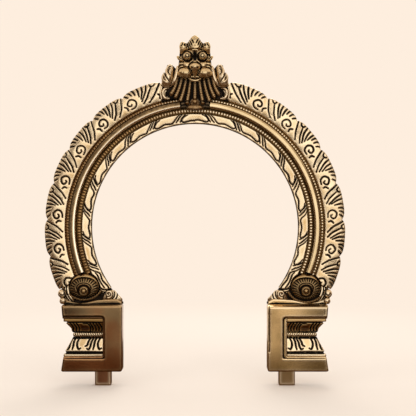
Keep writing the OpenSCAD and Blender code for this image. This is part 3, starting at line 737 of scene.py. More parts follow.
def make_rolls(metals):
    """The two halves of the round bar between the beads; the left one has painted shade outside and a painted
    highlight inside.
    """
    tree = roll_tree()
    mid_r = (ROLL_IN_R + ROLL_OUT_R) / 2
    half_w = (ROLL_OUT_R - ROLL_IN_R) / 2
    start = room_angle(mid_r)
    rise = ROLL_RISE * half_w
    spring = span("roll_moulding_right")[1][2] - rise
    for side, (a, b) in {"right": (start, ROLL_END), "left": (180 - ROLL_END, 180 - start)}.items():
        roll = grown(f"roll_moulding_{side}", "drawn", tree, {
            "Radius": mid_r * MM, "Start": math.radians(a), "Sweep": math.radians(b - a),
            "Centre": arch_point(spring), "Half width": half_w * MM, "Rise": rise * MM,
            "Side": (spring - PLATE_H) * MM, "Metal": metals[side],
        })
        if side == "left":
            spots = np.array([vertex.co for vertex in roll.data.vertices]) / MM
            across = (np.hypot(spots[:, 0], spots[:, 2] - ARCH_U) - mid_r) / half_w
            # Painted shade on the left roll's outer side, and a painted highlight along its inner side
            set_shade(roll.data, "patina_and_shade", ROLL_PAINTED_SHADE * np.clip(0.5 + 1.6 * across, 0, 1))
            set_shade(roll.data, "wear", np.clip(-0.1 - 1.9 * across, 0, 1))


class Block:
    """A block of metal to carve: distances from its surface, in millimetres, on a fine grid."""

    def __init__(self, low, high, voxel):
        self.low = np.array(low, dtype=np.float32) - 2 * voxel
        self.voxel = voxel
        axes = [np.arange(a, b + 2 * voxel, voxel, dtype=np.float32) for a, b in zip(self.low, high)]
        self.x, self.u, self.h = np.meshgrid(*axes, indexing="ij", sparse=True)
        self.field = np.full([len(axis) for axis in axes], 9.0, dtype=np.float32)
        self.lines = np.zeros((1, 1, 1))

    def seam(self, shape, blend):
        """Softening of the given size where a shape meets the surface."""
        return np.maximum(blend - np.abs(self.field - shape), 0) ** 2 / (4 * blend) if blend else 0

    def add(self, shape, blend=0.0):
        """Joins a shape to the block."""
        self.field = np.minimum(self.field, shape) - self.seam(shape, blend)

    def lump(self, centre, radii, blend=0.0):
        """Joins an egg-shaped lump to the block."""
        self.add(ball(self, centre, radii), blend)

    def bend(self, points, radii, blend=0.0):
        """Joins a rod along a smooth path to the block, with radii given at the path's points."""
        path = curve(points, 4)
        marks = np.linspace(0, 1, len(points))
        self.add(rods(self, path, np.interp(np.linspace(0, 1, len(path)), marks, radii)), blend)

    def cut(self, shape, blend=0.0):
        """Cuts a shape out of the block."""
        self.keep(-shape, blend)

    def keep(self, shape, blend=0.0):
        """Keeps only what is inside a shape."""
        self.field = np.maximum(self.field, shape) + self.seam(shape, blend)

    def engrave(self, strokes, half_w, depth, x=None, u=None, where=1.0):
        """Cuts dark lines into the face of the block."""
        x = self.x if x is None else x
        u = self.u if u is None else u
        lines = np.zeros(np.broadcast(x, u).shape)
        for stroke in strokes:
            lines = np.maximum(lines, groove(stroke_distance(x, u, stroke, half_w)))
        lines = lines * where
        self.lines = np.maximum(self.lines, lines)
        self.field = self.field + depth * lines

    def ink(self, points):
        """Share of engraved line at points of the carved surface."""
        lines = np.broadcast_to(self.lines, self.field.shape)
        index = np.rint((points - self.low) / self.voxel).astype(int)
        return lines[tuple(np.clip(index, 0, np.array(lines.shape) - 1).T)]

    def mesh(self):
        """Points and outward faces of the carved surface."""
        limit = 3 * self.voxel
        grid = openvdb.FloatGrid(limit)
        grid.copyFromArray(np.clip(self.field, -limit, limit).astype(np.float32))
        points, quads = grid.convertToQuads(isovalue=0.0)
        return points.astype(np.float64) * self.voxel + self.low, list(quads.astype(np.int64))


def block_on(plate_h, low, high, thick, sizes, zero_u=0.0, halves=False):
    """Fine block on a plate: h from the plate, u from a given line and, for equal halves, x both ways."""
    block = Block((*low, plate_h), (*high, plate_h + thick), sizes.fine_voxel / MM)
    block.h = block.h - plate_h
    block.u = block.u - zero_u
    if halves:
        block.x = np.abs(block.x)
    return block


def ball(block, centre, radii):
    """Distance from an egg-shaped lump."""
    x, u, h = block.x - centre[0], block.u - centre[1], block.h - centre[2]
    a, b, c = (radii, radii, radii) if np.isscalar(radii) else radii
    near = np.sqrt((x / a) ** 2 + (u / b) ** 2 + (h / c) ** 2)
    slope = np.sqrt((x / a ** 2) ** 2 + (u / b ** 2) ** 2 + (h / c ** 2) ** 2)
    return near * (near - 1) / np.maximum(slope, 1e-6)


def rods(block, path, radii):
    """Distance from a round rod that follows a path and changes its radius along it."""
    best = None
    for (ax, au, ah), (bx, bu, bh), ra, rb in zip(path, path[1:], radii, radii[1:]):
        dx, du, dh = bx - ax, bu - au, bh - ah
        square = dx * dx + du * du + dh * dh + 1e-9
        t = np.clip(((block.x - ax) * dx + (block.u - au) * du + (block.h - ah) * dh) / square, 0, 1)
        gap = (block.x - ax - t * dx) ** 2 + (block.u - au - t * du) ** 2 + (block.h - ah - t * dh) ** 2
        shape = np.sqrt(gap) - (ra + (rb - ra) * t)
        best = shape if best is None else np.minimum(best, shape)
    return best


def slab(block, low, high, rounding=0.0):
    """Distance from a box with round edges."""
    low, high = np.array(low), np.array(high)
    mid, half = (low + high) / 2, (high - low) / 2 - rounding
    q = [np.abs(axis - m) - r for axis, m, r in zip((block.x, block.u, block.h), mid, half)]
    outside = np.sqrt(sum(np.maximum(side, 0) ** 2 for side in q))
    return outside + np.minimum(np.maximum(np.maximum(q[0], q[1]), q[2]), 0) - rounding


def ring(block, centre, radius, wire):
    """Distance from a round wire ring that lies flat in the drawing."""
    flat = np.sqrt((block.x - centre[0]) ** 2 + (block.u - centre[1]) ** 2) - radius
    return np.sqrt(flat ** 2 + (block.h - centre[2]) ** 2) - wire


def round_corner(a, b, rounding):
    """Distance from a round corner of two walls, from the distances from both, moved in by the rounding."""
    return np.hypot(np.maximum(a, 0), np.maximum(b, 0)) + np.minimum(np.maximum(a, b), 0) - rounding


def plan_box(block, low, high, rounding):
    """Distance in the plane of the drawing from a rectangle with round corners."""
    x = np.abs(block.x - (low[0] + high[0]) / 2) - (high[0] - low[0]) / 2 + rounding
    u = np.abs(block.u - (low[1] + high[1]) / 2) - (high[1] - low[1]) / 2 + rounding
    return round_corner(x, u, rounding)


def raised(block, plan, low, high, rounding):
    """A flat outline made solid between two heights, with round edges."""
    level = np.abs(block.h - (low + high) / 2) - (high - low) / 2 + rounding
    return round_corner(plan + rounding, level, rounding)


def coil(centre, start, turns, outer, inner, h, steps=40):
    """Path of a flat spiral, from its outer end inwards."""
    path = []
    for t in np.linspace(0, 1, steps):
        angle = math.radians(start + 360 * turns * t)
        r = outer + (inner - outer) * t ** 0.8
        path.append((centre[0] + r * math.cos(angle), centre[1] + r * math.sin(angle), h))
    return path


def round_stroke(centre, radius, start=0, end=360):
    """Points of a stroke that runs round a centre, between two angles."""
    angles = np.radians(np.linspace(start, end, 13))
    return [(centre[0] + radius * math.cos(a), centre[1] + radius * math.sin(a)) for a in angles]


def front(block, level):
    """One in front of a height above the back, none behind it."""
    return np.clip((block.h - level) / block.voxel, 0, 1)


def shaded(block, grain=1.0, soot=0.0):
    """Points and faces of a carved block, with its patina and wear, and its engraved lines dark."""
    points, faces = block.mesh()
    patina_and_shade, wear = hollows(points, faces, grain, soot)
    lines = block.ink(points)
    return points, faces, (np.maximum(patina_and_shade, 0.9 * lines), wear * (1 - lines))


def carve_pair(block, node, craft, slot, metals, grain=1.0, soot=0.0):
    """Makes the piece of each side that has a metal, of a block that is carved for the right."""
    drawing = shaded(block, grain, soot)
    for side, metal in metals.items():
        make_side(node, side, craft, slot, metal, *drawing)


def make_face(sizes, metal):
    """The lion face: ringed eyes under brow lobes, a great ball of a nose, round muzzle, ears and lip."""
    low, high = span("mask_face")
    foot, top = low[1], high[1]
    chin = 2.9
    block = block_on(CREST_H, (-20, foot - chin), (20, top), 17, sizes, zero_u=foot, halves=True)
    eye = (7.55, 23.4)
    block.lump((0, 14.5, -2.0), (17.0, 19.0, 7.0))
    block.bend([(9.0, 32.2, 2.0), (12.2, 31.0, 2.4), (13.8, 27.2, 1.6)], (2.8, 3.0, 1.6), 0.6)
    block.bend([(12.6, 19.8, 1.6), (15.0, 21.0, 2.6), (17.0, 22.8, 1.8)], (2.2, 2.2, 1.3), 0.4)
    block.bend([(0, 29.8, 5.6), (2.6, 29.0, 5.4), (4.8, 27.2, 4.6)], (0.8, 0.8, 0.6))
    block.bend([(0, 27.2, 4.6), (1.7, 26.6, 4.5), (2.6, 25.4, 4.2)], (0.5, 0.5, 0.4))
    block.lump((0, 24.0, 4.2), (1.2, 1.3, 1.3))
    block.lump((8.0, 14.2, 1.8), (5.0, 4.8, 5.4), 1.0)
    for lift in (0, 2.7):
        whisker = [(11.2, 13.2 + lift, 4.4), (14.2, 12.8 + lift, 3.8), (16.6, 10.0 + lift, 2.4)]
        block.bend(whisker, (0.9, 1.2, 0.9), 0.2)
    block.lump((9.4, 6.2, 4.6), (7.6, 5.9, 7.4), 0.4)
    block.lump((0, 12.0, 7.6), (5.6, 4.6, 6.4), 0.3)
    block.add(rods(block, [(0, 12.6, 8.2), (0, 16.4, 6.2)], (3.8, 2.4)), 0.8)
    block.add(rods(block, [(0, 10.2, 9.6), (0, 4.8, 8.8)], (3.6, 2.0)), 0.5)
    block.bend([(0, 19.2, 5.6), (2.2, 18.2, 5.4), (4.2, 16.0, 4.8)], (0.6, 0.6, 0.5))
    block.bend([(0, -1.5, 7.0), (3.2, -0.8, 6.8), (6.2, 1.1, 6.2)], (1.3, 1.3, 0.6), 0.2)
    block.bend([(0, 2.6, 7.0), (3.2, 2.4, 6.8), (6.2, 1.1, 6.2)], (0.8, 0.8, 0.5))
    block.cut(ring(block, (*eye, 5.6), 5.0, 1.7), 0.3)
    block.lump((*eye, 4.6), (4.1, 4.1, 4.8))
    block.engrave([
        round_stroke(eye, 5.0),
        [(2.2, 17.8), (4.4, 16.0), (6.2, 12.6), (5.6, 9.0), (3.0, 4.4)],
        [(12.8, 17.4), (15.0, 17.8), (16.6, 19.4)],
        [(13.6, 20.6), (15.0, 21.4), (16.0, 22.6)],
        [(11.2, 14.4), (14.6, 14.0), (17.0, 11.2)],
        [(10.6, 12.0), (14.0, 11.4), (16.4, 8.6)],
    ], 0.5, 0.8)
    block.engrave([round_stroke(eye, 1.8), [(1.9, 11.2), (3.2, 10.4)]], 0.42, 0.5)
    block.engrave([[(-1, 0.6), (3.4, 0.8)]], 0.8, 0.6)
    block.engrave([[(0, 26.4), (0, 20.6)]], 2.4, 0.0, where=0.6)
    block.keep(-block.h)
    block.keep(np.maximum(-chin - block.u, block.u - (top - foot)))
    make_piece("mask_face", "carved", "crest_brass", metal, *shaded(block, soot=0.03))


# Half widths of the crown's palmette, at shares of its height
PALMETTE = [
    (0, 5.0), (0.08, 6.6), (0.2, 8.1), (0.37, 7.9), (0.64, 5.5), (0.84, 3.7), (0.95, 2.3), (1.0, 0.9),
]


def make_crown(sizes, metal):
    """The crown over the brow: a pointed palmette with slits along its edges between two blocky lobes."""
    low, high = span("mask_crown")
    foot, top = low[1], high[1]
    block = block_on(CREST_H, (-18, foot), (18, top + 0.6), 7, sizes, zero_u=foot, halves=True)
    height = top - foot - 1.8
    shares, half_widths = np.array(PALMETTE).T
    width = np.interp(block.u, shares * height, half_widths)
    face = 6.2 - 2.0 * (block.x / np.maximum(width, 0.4)) ** 2 - 1.6 * (block.u / height) ** 2
    leaf = np.maximum((block.x - width) * 0.75, (block.h - face) * 0.85)
    block.add(slab(block, (-1, -1, -1), (14.8, 1.6, 2.6), 0.5))
    block.lump((11.6, 1.8, 1.6), (4.0, 4.9, 3.2), 0.3)
    block.add(rods(block, [(12.0, 3.2, 1.8), (12.8, 5.0, 1.6)], (2.4, 1.8)), 0.8)
    block.add(np.maximum(leaf, np.maximum(block.u - height, -block.h)))
    block.engrave([
        [(3.6, 9.2), (2.3, 7.2), (1.3, 5.2)],
        [(5.2, 7.6), (3.9, 5.2), (3.0, 2.8)],
        [(6.6, 6.2), (5.5, 3.8), (4.7, 1.4)],
        [(7.8, 4.8), (7.0, 2.8), (6.4, 0.8)],
        [(9.2, 4.4), (10.4, 4.0), (10.2, 2.8), (9.2, 3.0)],
        [(12.2, 5.6), (12.6, 3.8), (13.8, 2.4)],
    ], 0.52, 1.4)
    block.keep(-block.h)
    block.keep(-block.u)
    make_piece("mask_crown", "carved", "crest_brass", metal, *shaded(block, soot=0.02))


# Tips of the beard's flutes, right of the middle and below the root, from the middle one outwards
FLUTE_TIPS = [(0, 18.6), (8.0, 23.0), (14.2, 20.2), (19.2, 16.8), (23.6, 14.2)]
FLUTE_STEP = 4.3
RIB_PITCH = 2.2


def make_beard(sizes, metal):
    """The beard: a fan of ribbed flutes with black gaps between them, over a small bell."""
    low, high = span("mask_beard")
    root = high[1]
    drop = root - low[1]
    tuck = 3.2
    bell_drop = drop + 2.6
    block = block_on(CREST_H, (-26, root - bell_drop), (26, root + tuck), 8, sizes, zero_u=root, halves=True)
    ground_t = 1.7
    tip_x, tip_drop = np.array(FLUTE_TIPS).T
    edge = np.interp(-block.u, [0, tip_drop[-1]], [FLUTE_STEP * (len(FLUTE_TIPS) - 1), tip_x[-1]])
    fan = np.maximum(block.x - edge, -block.u - np.interp(block.x, tip_x, tip_drop)) * 0.8
    block.add(np.maximum(fan, np.maximum(block.h - ground_t, -block.h)))
    for i, (x, long) in enumerate(FLUTE_TIPS):
        start = i * FLUTE_STEP
        knee = (start + 0.42 * (x - start), -0.5 * long, 2.0)
        path = curve([(start, 0.7 * i, 1.6), knee, (x, -long, 1.8)], 14)
        run = np.linspace(0, 1, len(path))
        ribs = 0.16 * np.cos(2 * math.pi * run * long / RIB_PITCH)
        block.add(rods(block, path, 1.2 + 0.85 * run + ribs))
    bell_h, saucer_w, saucer_h = 9.0, 14.2, 6.5
    rows = np.array([0, 1.4, 3.4, 5.6, bell_h + 2.6]) - bell_drop
    widths = [8.2, 8.8, 8.2, 5.8, 2.6]
    wide = np.interp(block.u, rows, widths)
    bell = (np.sqrt((block.x / wide) ** 2 + (block.h / (0.76 * wide)) ** 2) - 1) * 0.7 * wide
    block.add(np.maximum(bell, block.u + drop - bell_h), 0.6)
    block.lump((0, 5.0 - drop, 4.6), (2.4, 2.6, 2.2), 0.4)
    saucer_u = saucer_h - drop
    block.add(slab(block, (-1, -drop, -1), (saucer_w, saucer_u, ground_t), 0.6), 0.6)
    # The saucer's two lines are cut and dark: a painted shadow that carries the roll's shadow on under the
    # bell
    saucer_shadow_lines = [[(6, saucer_u - 0.4), (15, saucer_u - 1.4)], [(9, 2.6 - drop), (15, 2.0 - drop)]]
    block.engrave(saucer_shadow_lines, 0.6, 0.4)
    block.keep(-block.h)
    block.keep(np.maximum(block.u - tuck, -bell_drop - block.u))
    points, faces, (patina_and_shade, wear) = shaded(block)
    below = points[:, 1] - root
    deep = np.clip((CREST_H + ground_t + 0.5 - points[:, 2]) / 0.4, 0, 1)
    deep *= np.where(below < saucer_u, 0.32, 1)
    # Painted shade under the face: darker towards the beard's root
    deep = np.maximum(deep, 0.22 * np.clip(1 + below / 7, 0, 1))
    on_bell = (below < bell_h - drop - 0.5) & (np.abs(points[:, 0]) < np.interp(below, rows, widths) + 0.2)
    # The bell is lightened where its face turns down: a painted highlight
    patina_and_shade = np.where(on_bell, 0.3 * patina_and_shade, np.maximum(patina_and_shade, deep))
    wear = np.where(on_bell, np.maximum(wear, 0.35), wear)
    make_piece("mask_beard", "carved", "crest_brass", metal, points, faces, (patina_and_shade, wear))


def make_side_scrolls(sizes, metal):
    """The leaf scrolls beside the face, each with a strap on its inner side and a hooked curl under it."""
    low, high = span("side_scroll_right")
    block = block_on(CREST_H, (14.5, low[1] - 3), (high[0] + 1.5, high[1] + 1), 8, sizes, zero_u=CREST_U)
    strap = [(17.2, 30.0, 1.4), (17.9, 25.6, 2.2), (18.8, 20.6, 2.6), (20.6, 16.0, 2.4), (23.0, 12.4, 1.6)]
    block.bend(strap, (1.4, 1.8, 2.1, 2.1, 1.7))
    leaf = [(24.0, 29.4, 0.6), (25.6, 24.6, 0.8), (27.2, 19.4, 0.8), (28.2, 14.6, 0.8)]
    block.bend(leaf, (2.6, 4.3, 5.6, 5.2))
    rib = [(22.8, 28.4, 1.8), (23.4, 31.0, 2.2), (25.6, 31.2, 2.4), (27.4, 28.4, 3.2)]
    rib += [(28.6, 25.0, 4.2), (27.6, 21.8, 5.0), (25.2, 19.2, 4.4), (24.0, 16.4, 3.0)]
    block.bend(rib, (0.8, 1.0, 1.1, 1.2, 1.3, 1.3, 1.2, 0.9), 0.3)
    rib = [(29.8, 24.4, 3.2), (31.8, 20.4, 3.4), (31.6, 16.8, 4.2), (28.6, 14.4, 5.0), (24.8, 12.6, 3.0)]
    block.bend(rib, (0.9, 1.3, 1.4, 1.4, 1.1), 0.3)
    block.bend([(24.2, 10.8, 1.6), (28.4, 10.4, 2.6), (33.0, 12.0, 1.6)], (1.0, 1.4, 1.1), 0.2)
    block.lump((30.2, 2.9, -0.4), (4.2, 5.6, 1.6))
    hook = [(26.6, 8.8, 1.6), (29.8, 8.0, 2.2), (31.7, 5.2, 2.6)]
    hook += [(31.6, 1.6, 2.6), (29.4, -1.3, 2.4), (25.8, -1.6, 1.6)]
    block.bend(hook, (0.9, 1.2, 1.4, 1.5, 1.5, 1.0), 0.2)
    block.bend([(33.2, 10.0, 1.0), (34.3, 4.4, 1.2), (33.2, -2.2, 1.0)], (1.0, 1.1, 0.9), 0.2)
    block.engrave([
        [(24.6, 28.4), (26.0, 26.6), (26.4, 24.2), (24.6, 21.6)],
        [(30.2, 25.6), (29.6, 21.4), (27.6, 18.2), (25.4, 15.0)],
    ], 0.5, 0.9)
    block.engrave([[(27.0, 6.0), (27.8, 3.8), (28.2, 1.6)]], 1.7, 0.4)
    block.keep(-block.h)
    carve_pair(block, "side_scroll", "carved", "crest_brass", dict.fromkeys(SIDES, metal), soot=-0.05)


def tube_faces(index):
    """Faces between the rows of a grid of points whose rows close on themselves."""
    after = np.roll(index, -1, axis=1)
    return list(np.stack([index[:-1], index[1:], after[1:], after[:-1]], axis=2).reshape(-1, 4))


def round_sheet(centre, outline, rings, sectors, relief):
    """Closed round relief on the plate, from its outline and its height and dark lines at every place."""
    angle = np.linspace(0, 2 * math.pi, sectors, endpoint=False)
    share = np.linspace(0, 1, rings + 1)[1:]
    radius = outline(angle)[None, :] * share[:, None]
    turned = np.broadcast_to(angle, radius.shape)
    x, u = radius * np.cos(turned), radius * np.sin(turned)
    h, lines = relief(x, u, np.broadcast_to(share[:, None], radius.shape), turned)
    top = np.stack([x, u, h], axis=2).reshape(-1, 3)
    skirt = np.stack([x[-1], u[-1], np.full(sectors, PLATE_H)], axis=1)
    points = np.vstack([top, skirt, [[0, 0, h[0].mean()]]]) + np.array([centre[0], centre[1], 0])
    index = np.arange(rings * sectors).reshape(rings, sectors)
    after = np.roll(index, -1, axis=1)
    low = rings * sectors + np.arange(sectors)
    apex = np.full(sectors, rings * sectors + sectors)
    faces = tube_faces(index)
    faces += list(np.stack([index[-1], low, np.roll(low, -1), after[-1]], axis=1))
    faces += list(np.stack([apex, index[0], after[0]], axis=1))
    faces.append(low[::-1])
    return points, faces, lines


def lathe(profile, centre, segments):
    """Solid of revolution about an axis towards the viewer, from its back pole to its front pole."""
    profile = np.asarray(profile, dtype=np.float64)
    angle = np.linspace(0, 2 * math.pi, segments, endpoint=False)
    rings = profile[1:-1]
    radius, h = rings[:, :1], np.broadcast_to(rings[:, 1:], (len(rings), segments))
    body = np.stack([radius * np.cos(angle), radius * np.sin(angle), h], axis=2).reshape(-1, 3)
    poles = [[0, 0, profile[0, 1]], [0, 0, profile[-1, 1]]]
    points = np.vstack([body, poles]) + np.array([centre[0], centre[1], 0])
    index = np.arange(len(rings) * segments).reshape(len(rings), segments)
    after = np.roll(index, -1, axis=1)
    back = np.full(segments, len(body))
    faces = list(np.stack([index[:-1], after[:-1], after[1:], index[1:]], axis=2).reshape(-1, 4))
    faces += list(np.stack([back, after[0], index[0]], axis=1))
    faces += list(np.stack([back + 1, index[-1], after[-1]], axis=1))
    return points, faces


def rope(path, wire, twists):
    """Closed twisted rope along a path of the drawing."""
    loop = np.linspace(0, 2 * math.pi, 12, endpoint=False)
    along = np.gradient(path[:, :2], axis=0)
    along /= np.linalg.norm(along, axis=1, keepdims=True)
    twist = np.linspace(0, 2 * math.pi * twists, len(path))
    swell = wire * (0.75 + 0.25 * np.cos(2 * loop[None, :] + twist[:, None]))
    points = np.stack([
        path[:, :1] + along[:, 1:] * swell * np.cos(loop),
        path[:, 1:2] - along[:, :1] * swell * np.cos(loop),
        path[:, 2:] + 1.3 * swell * np.sin(loop),
    ], axis=2).reshape(-1, 3)
    index = np.arange(len(points)).reshape(len(path), len(loop))
    return points, tube_faces(index) + [index[0], index[-1][::-1]]


# How far each rosette reaches over and under its middle, and where the bottom of its collar is under it
ROSETTE_REACH = {"left": (14.6, 9.4, 11.8), "right": (14.2, 11.6, 14.2)}
# Path of a collar, from its bottom, and the head of a rivet: shares of its radius, and depths under its top
COLLAR_PATH = [
    (-17.6, 10.2), (-14.8, 6.4), (-10.8, 3.0), (-5.6, 0.7), (0, 0), (6.6, 0.9), (12.0, 3.4), (15.4, 6.2),
]
BOSS_PROFILE = [
    (1, 3.4), (0.9, 2.0), (0.78, 1.2), (0.66, 1.2), (0.58, 2.2),
    (0.48, 2.0), (0.42, 0.7), (0.22, 0.1), (0, 0),
]
BOSS_R = (span("rosette_rivet_right")[1][0] - span("rosette_rivet_right")[0][0]) / 2


def rosette_shell(up, down, flutes):
    """A shell with flutes round its rim under a plain hood, as points, faces and shade."""
    half_w = COLLAR_R - 0.4
    dip = ROSETTE[1] - RIVET[1]
    rise = span("rosette_right")[1][2] - PLATE_H

    def outline(angle):
        """Radius of the shell's edge, which reaches further up than down."""
        tall = np.where(np.sin(angle) > 0, up, down)
        return half_w * tall / np.hypot(tall * np.cos(angle), half_w * np.sin(angle))

    def relief(x, u, whole, angle):
        """Height of the shell, and its dark lines, which are less than none on the hood, where they make a
        painted highlight.
        """
        share = whole / (0.97 - 0.25 * np.clip(np.sin(angle), 0, 1) ** 1.5)
        from_boss = np.hypot(x, u + dip)
        dome = rise * (1.0 - 0.25 * share ** 2 - 0.3 * np.clip((share - 0.82) / 0.18, 0, 1) ** 2)
        hood = np.clip((share - 1.0) / 0.06, 0, 1)
        fall = np.sqrt(np.clip(1 - whole ** 8, 0, 1))
        lines = np.clip(0.15 + np.cos(flutes * np.arctan2(u + dip, x)), 0, 1)
        lines = lines * np.clip((share - 0.6) / 0.1, 0, 1) * np.clip((1.02 - share) / 0.06, 0, 1)
        dish = 1.2 * np.exp(-(from_boss - BOSS_R - 0.9) ** 2) + 0.5 * np.exp(-((share - 0.49) / 0.04) ** 2)
        height = (dome - 0.7 * lines - dish) * (1 - hood) + 0.62 * rise * fall * hood
        # Painted highlight: the hood is brightest at its inner edge
        worn = hood * np.interp(share, [1.0, 1.18, 1.3], [0.7, 0.4, 0.3])
        return PLATE_H + np.maximum(height, 1.0), lines - worn

    points, faces, lines = round_sheet(ROSETTE, outline, rings=40, sectors=300, relief=relief)
    patina_and_shade, wear = hollows(points, faces)
    lines = lines.ravel()
    patina_and_shade[:lines.size] = np.maximum(0.7 * patina_and_shade[:lines.size] + np.minimum(lines, 0), 0.9 * lines)
    wear[:lines.size] = np.maximum(0.25 * wear[:lines.size], -lines)
    return points, faces, (patina_and_shade, wear)


def rosette_rivet():
    """A rivet with a ringed boss for its head and a low dome at the back, as points, faces and shade."""
    low, high = span("rosette_rivet_right")
    back, head = low[2], high[2]
    shank = 2.0
    profile = [(0, back), (1.8, back + 0.25), (3.0, back + 0.8), (3.6, -0.02), (shank, 0.0)]
    profile += [(shank, head - 4.1), (BOSS_R - 0.2, head - 4.0)]
    profile += [(share * BOSS_R, head - depth) for share, depth in BOSS_PROFILE]
    points, faces = lathe(profile, RIVET, segments=40)
    patina_and_shade, wear = hollows(points, faces, 2.0)
    return points, faces, (patina_and_shade, 0.4 * wear)


def rosette_collar(drop):
    """A roped collar with its bottom so far under the rosette's middle, as points, faces and shade."""
    bottom = ROSETTE[1] - drop
    path = curve([(ROSETTE[0] + x, bottom + u, PLATE_H + 2) for x, u in COLLAR_PATH], 24)
    points, faces = rope(path, wire=1.5, twists=15)
    return points, faces, hollows(points, faces, 0.5)


def make_rosettes(sizes, metal, collar_metal):
    """The shell rosettes over the feet, with their ringed rivets and roped collars."""
    rivet = rosette_rivet()
    for side, (up, down, drop) in ROSETTE_REACH.items():
        shell = rosette_shell(up, down, sizes.flutes)
        make_side("rosette", side, "chased", "rosette_brass", metal, *shell)
        make_side("rosette_rivet", side, "chased", "crest_brass", metal, *rivet)
        make_side("rosette_collar", side, "chased", "rosette_brass", collar_metal, *rosette_collar(drop))


def make_heels(sizes, metals):
    """The curled leaf at the heel of each foot."""
    foot_low, foot_high = span("foot_frame_right")
    foot_x, foot_u = foot_low[0], foot_high[1]
    top = span("heel_scroll_right")[1][1] + 4
    block = block_on(PLATE_H, (foot_x, foot_u), (ROSETTE[0] - 9, top), 7, sizes)
    curl = (HEEL[0] + 1.6, HEEL[1] + 1.2)
    block.lump((HEEL[0] - 2.5, HEEL[1] - 3.5, -0.5), (10.5, 9.0, 3.0))
    block.engrave([round_stroke(curl, radius, 150, 268) for radius in (6.0, 8.8)], 0.5, 0.9)
    wire = coil(curl, 280, -1.3, 3.9, 0.9, 2.6)
    block.add(rods(block, wire, np.linspace(1.3, 1.0, len(wire))), 0.2)
    block.keep(sizes.opening_r / MM - 0.8 - np.sqrt(block.x ** 2 + (block.u - ARCH_U) ** 2), 0.6)
    block.keep(plan_box(block, (foot_x + 0.6, foot_u - 4), (ROSETTE[0] + 20, ROSETTE[1] + 9), 6.0))
    block.keep(-block.h)
    block.keep(foot_u - block.u)
    carve_pair(block, "heel_scroll", "carved", "crest_brass", metals)


def make_toes(sizes, metals):
    """The two balls at the toe of each foot, on a leaf that follows the collar."""
    low, high = span("toe_curl_right")
    big_r = (high[0] - low[0]) / 2
    small_r = 0.82 * big_r
    x, ball_u = low[0] + big_r, high[1] - big_r
    block = block_on(PLATE_H, (low[0] - 9, low[1]), (high[0] + 0.5, high[1] + 6), 7.5, sizes)
    block.lump((x - 5, low[1] + 7.5, 0), (7.6, 11.5, 3.0))
    block.engrave([round_stroke(ROSETTE, COLLAR_R + gap, -75, 25) for gap in (2.4, 4.6)], 0.5, 0.9)
    block.lump((x, ball_u, 2.2), big_r)
    block.lump((x - 0.8, low[1] + 0.9 * small_r, 2.2), small_r)
    block.engrave([round_stroke((x, ball_u + 0.2 * big_r), 0.55 * big_r, 200, 330)], 0.4, 0.7)
    block.keep(COLLAR_R + 0.2 - np.sqrt((block.x - ROSETTE[0]) ** 2 + (block.u - ROSETTE[1]) ** 2))
    block.keep(-block.h)
    block.keep(low[1] - block.u)
    carve_pair(block, "toe_curl", "carved", "crest_brass", metals)


# Widths of the lip round each foot's recess: on the post, under the capital's bar and over the base
FOOT_LIPS = {"left": (1.6, 2.6, 1.8), "right": (4.2, 1.6, 1.6)}
# How steeply each foot's top falls towards the viewer
FOOT_SLOPES = {"left": 0.15, "right": 0.4}
# Top of the thin shoulder over each foot: x from the heel, and u over the foot
SHOULDER = [(1.5, 2.5), (6, 5), (12, 5), (26, 4), (36, 1.8), (43, 1.0), (50, 2.2), (57, 4.4), (59, 3.0)]
# The plate's tongue in each foot: x from the heel, width and length
TONGUE = (2.6, 14.0, 42.0)
FOOT_GRAIN = 2.2


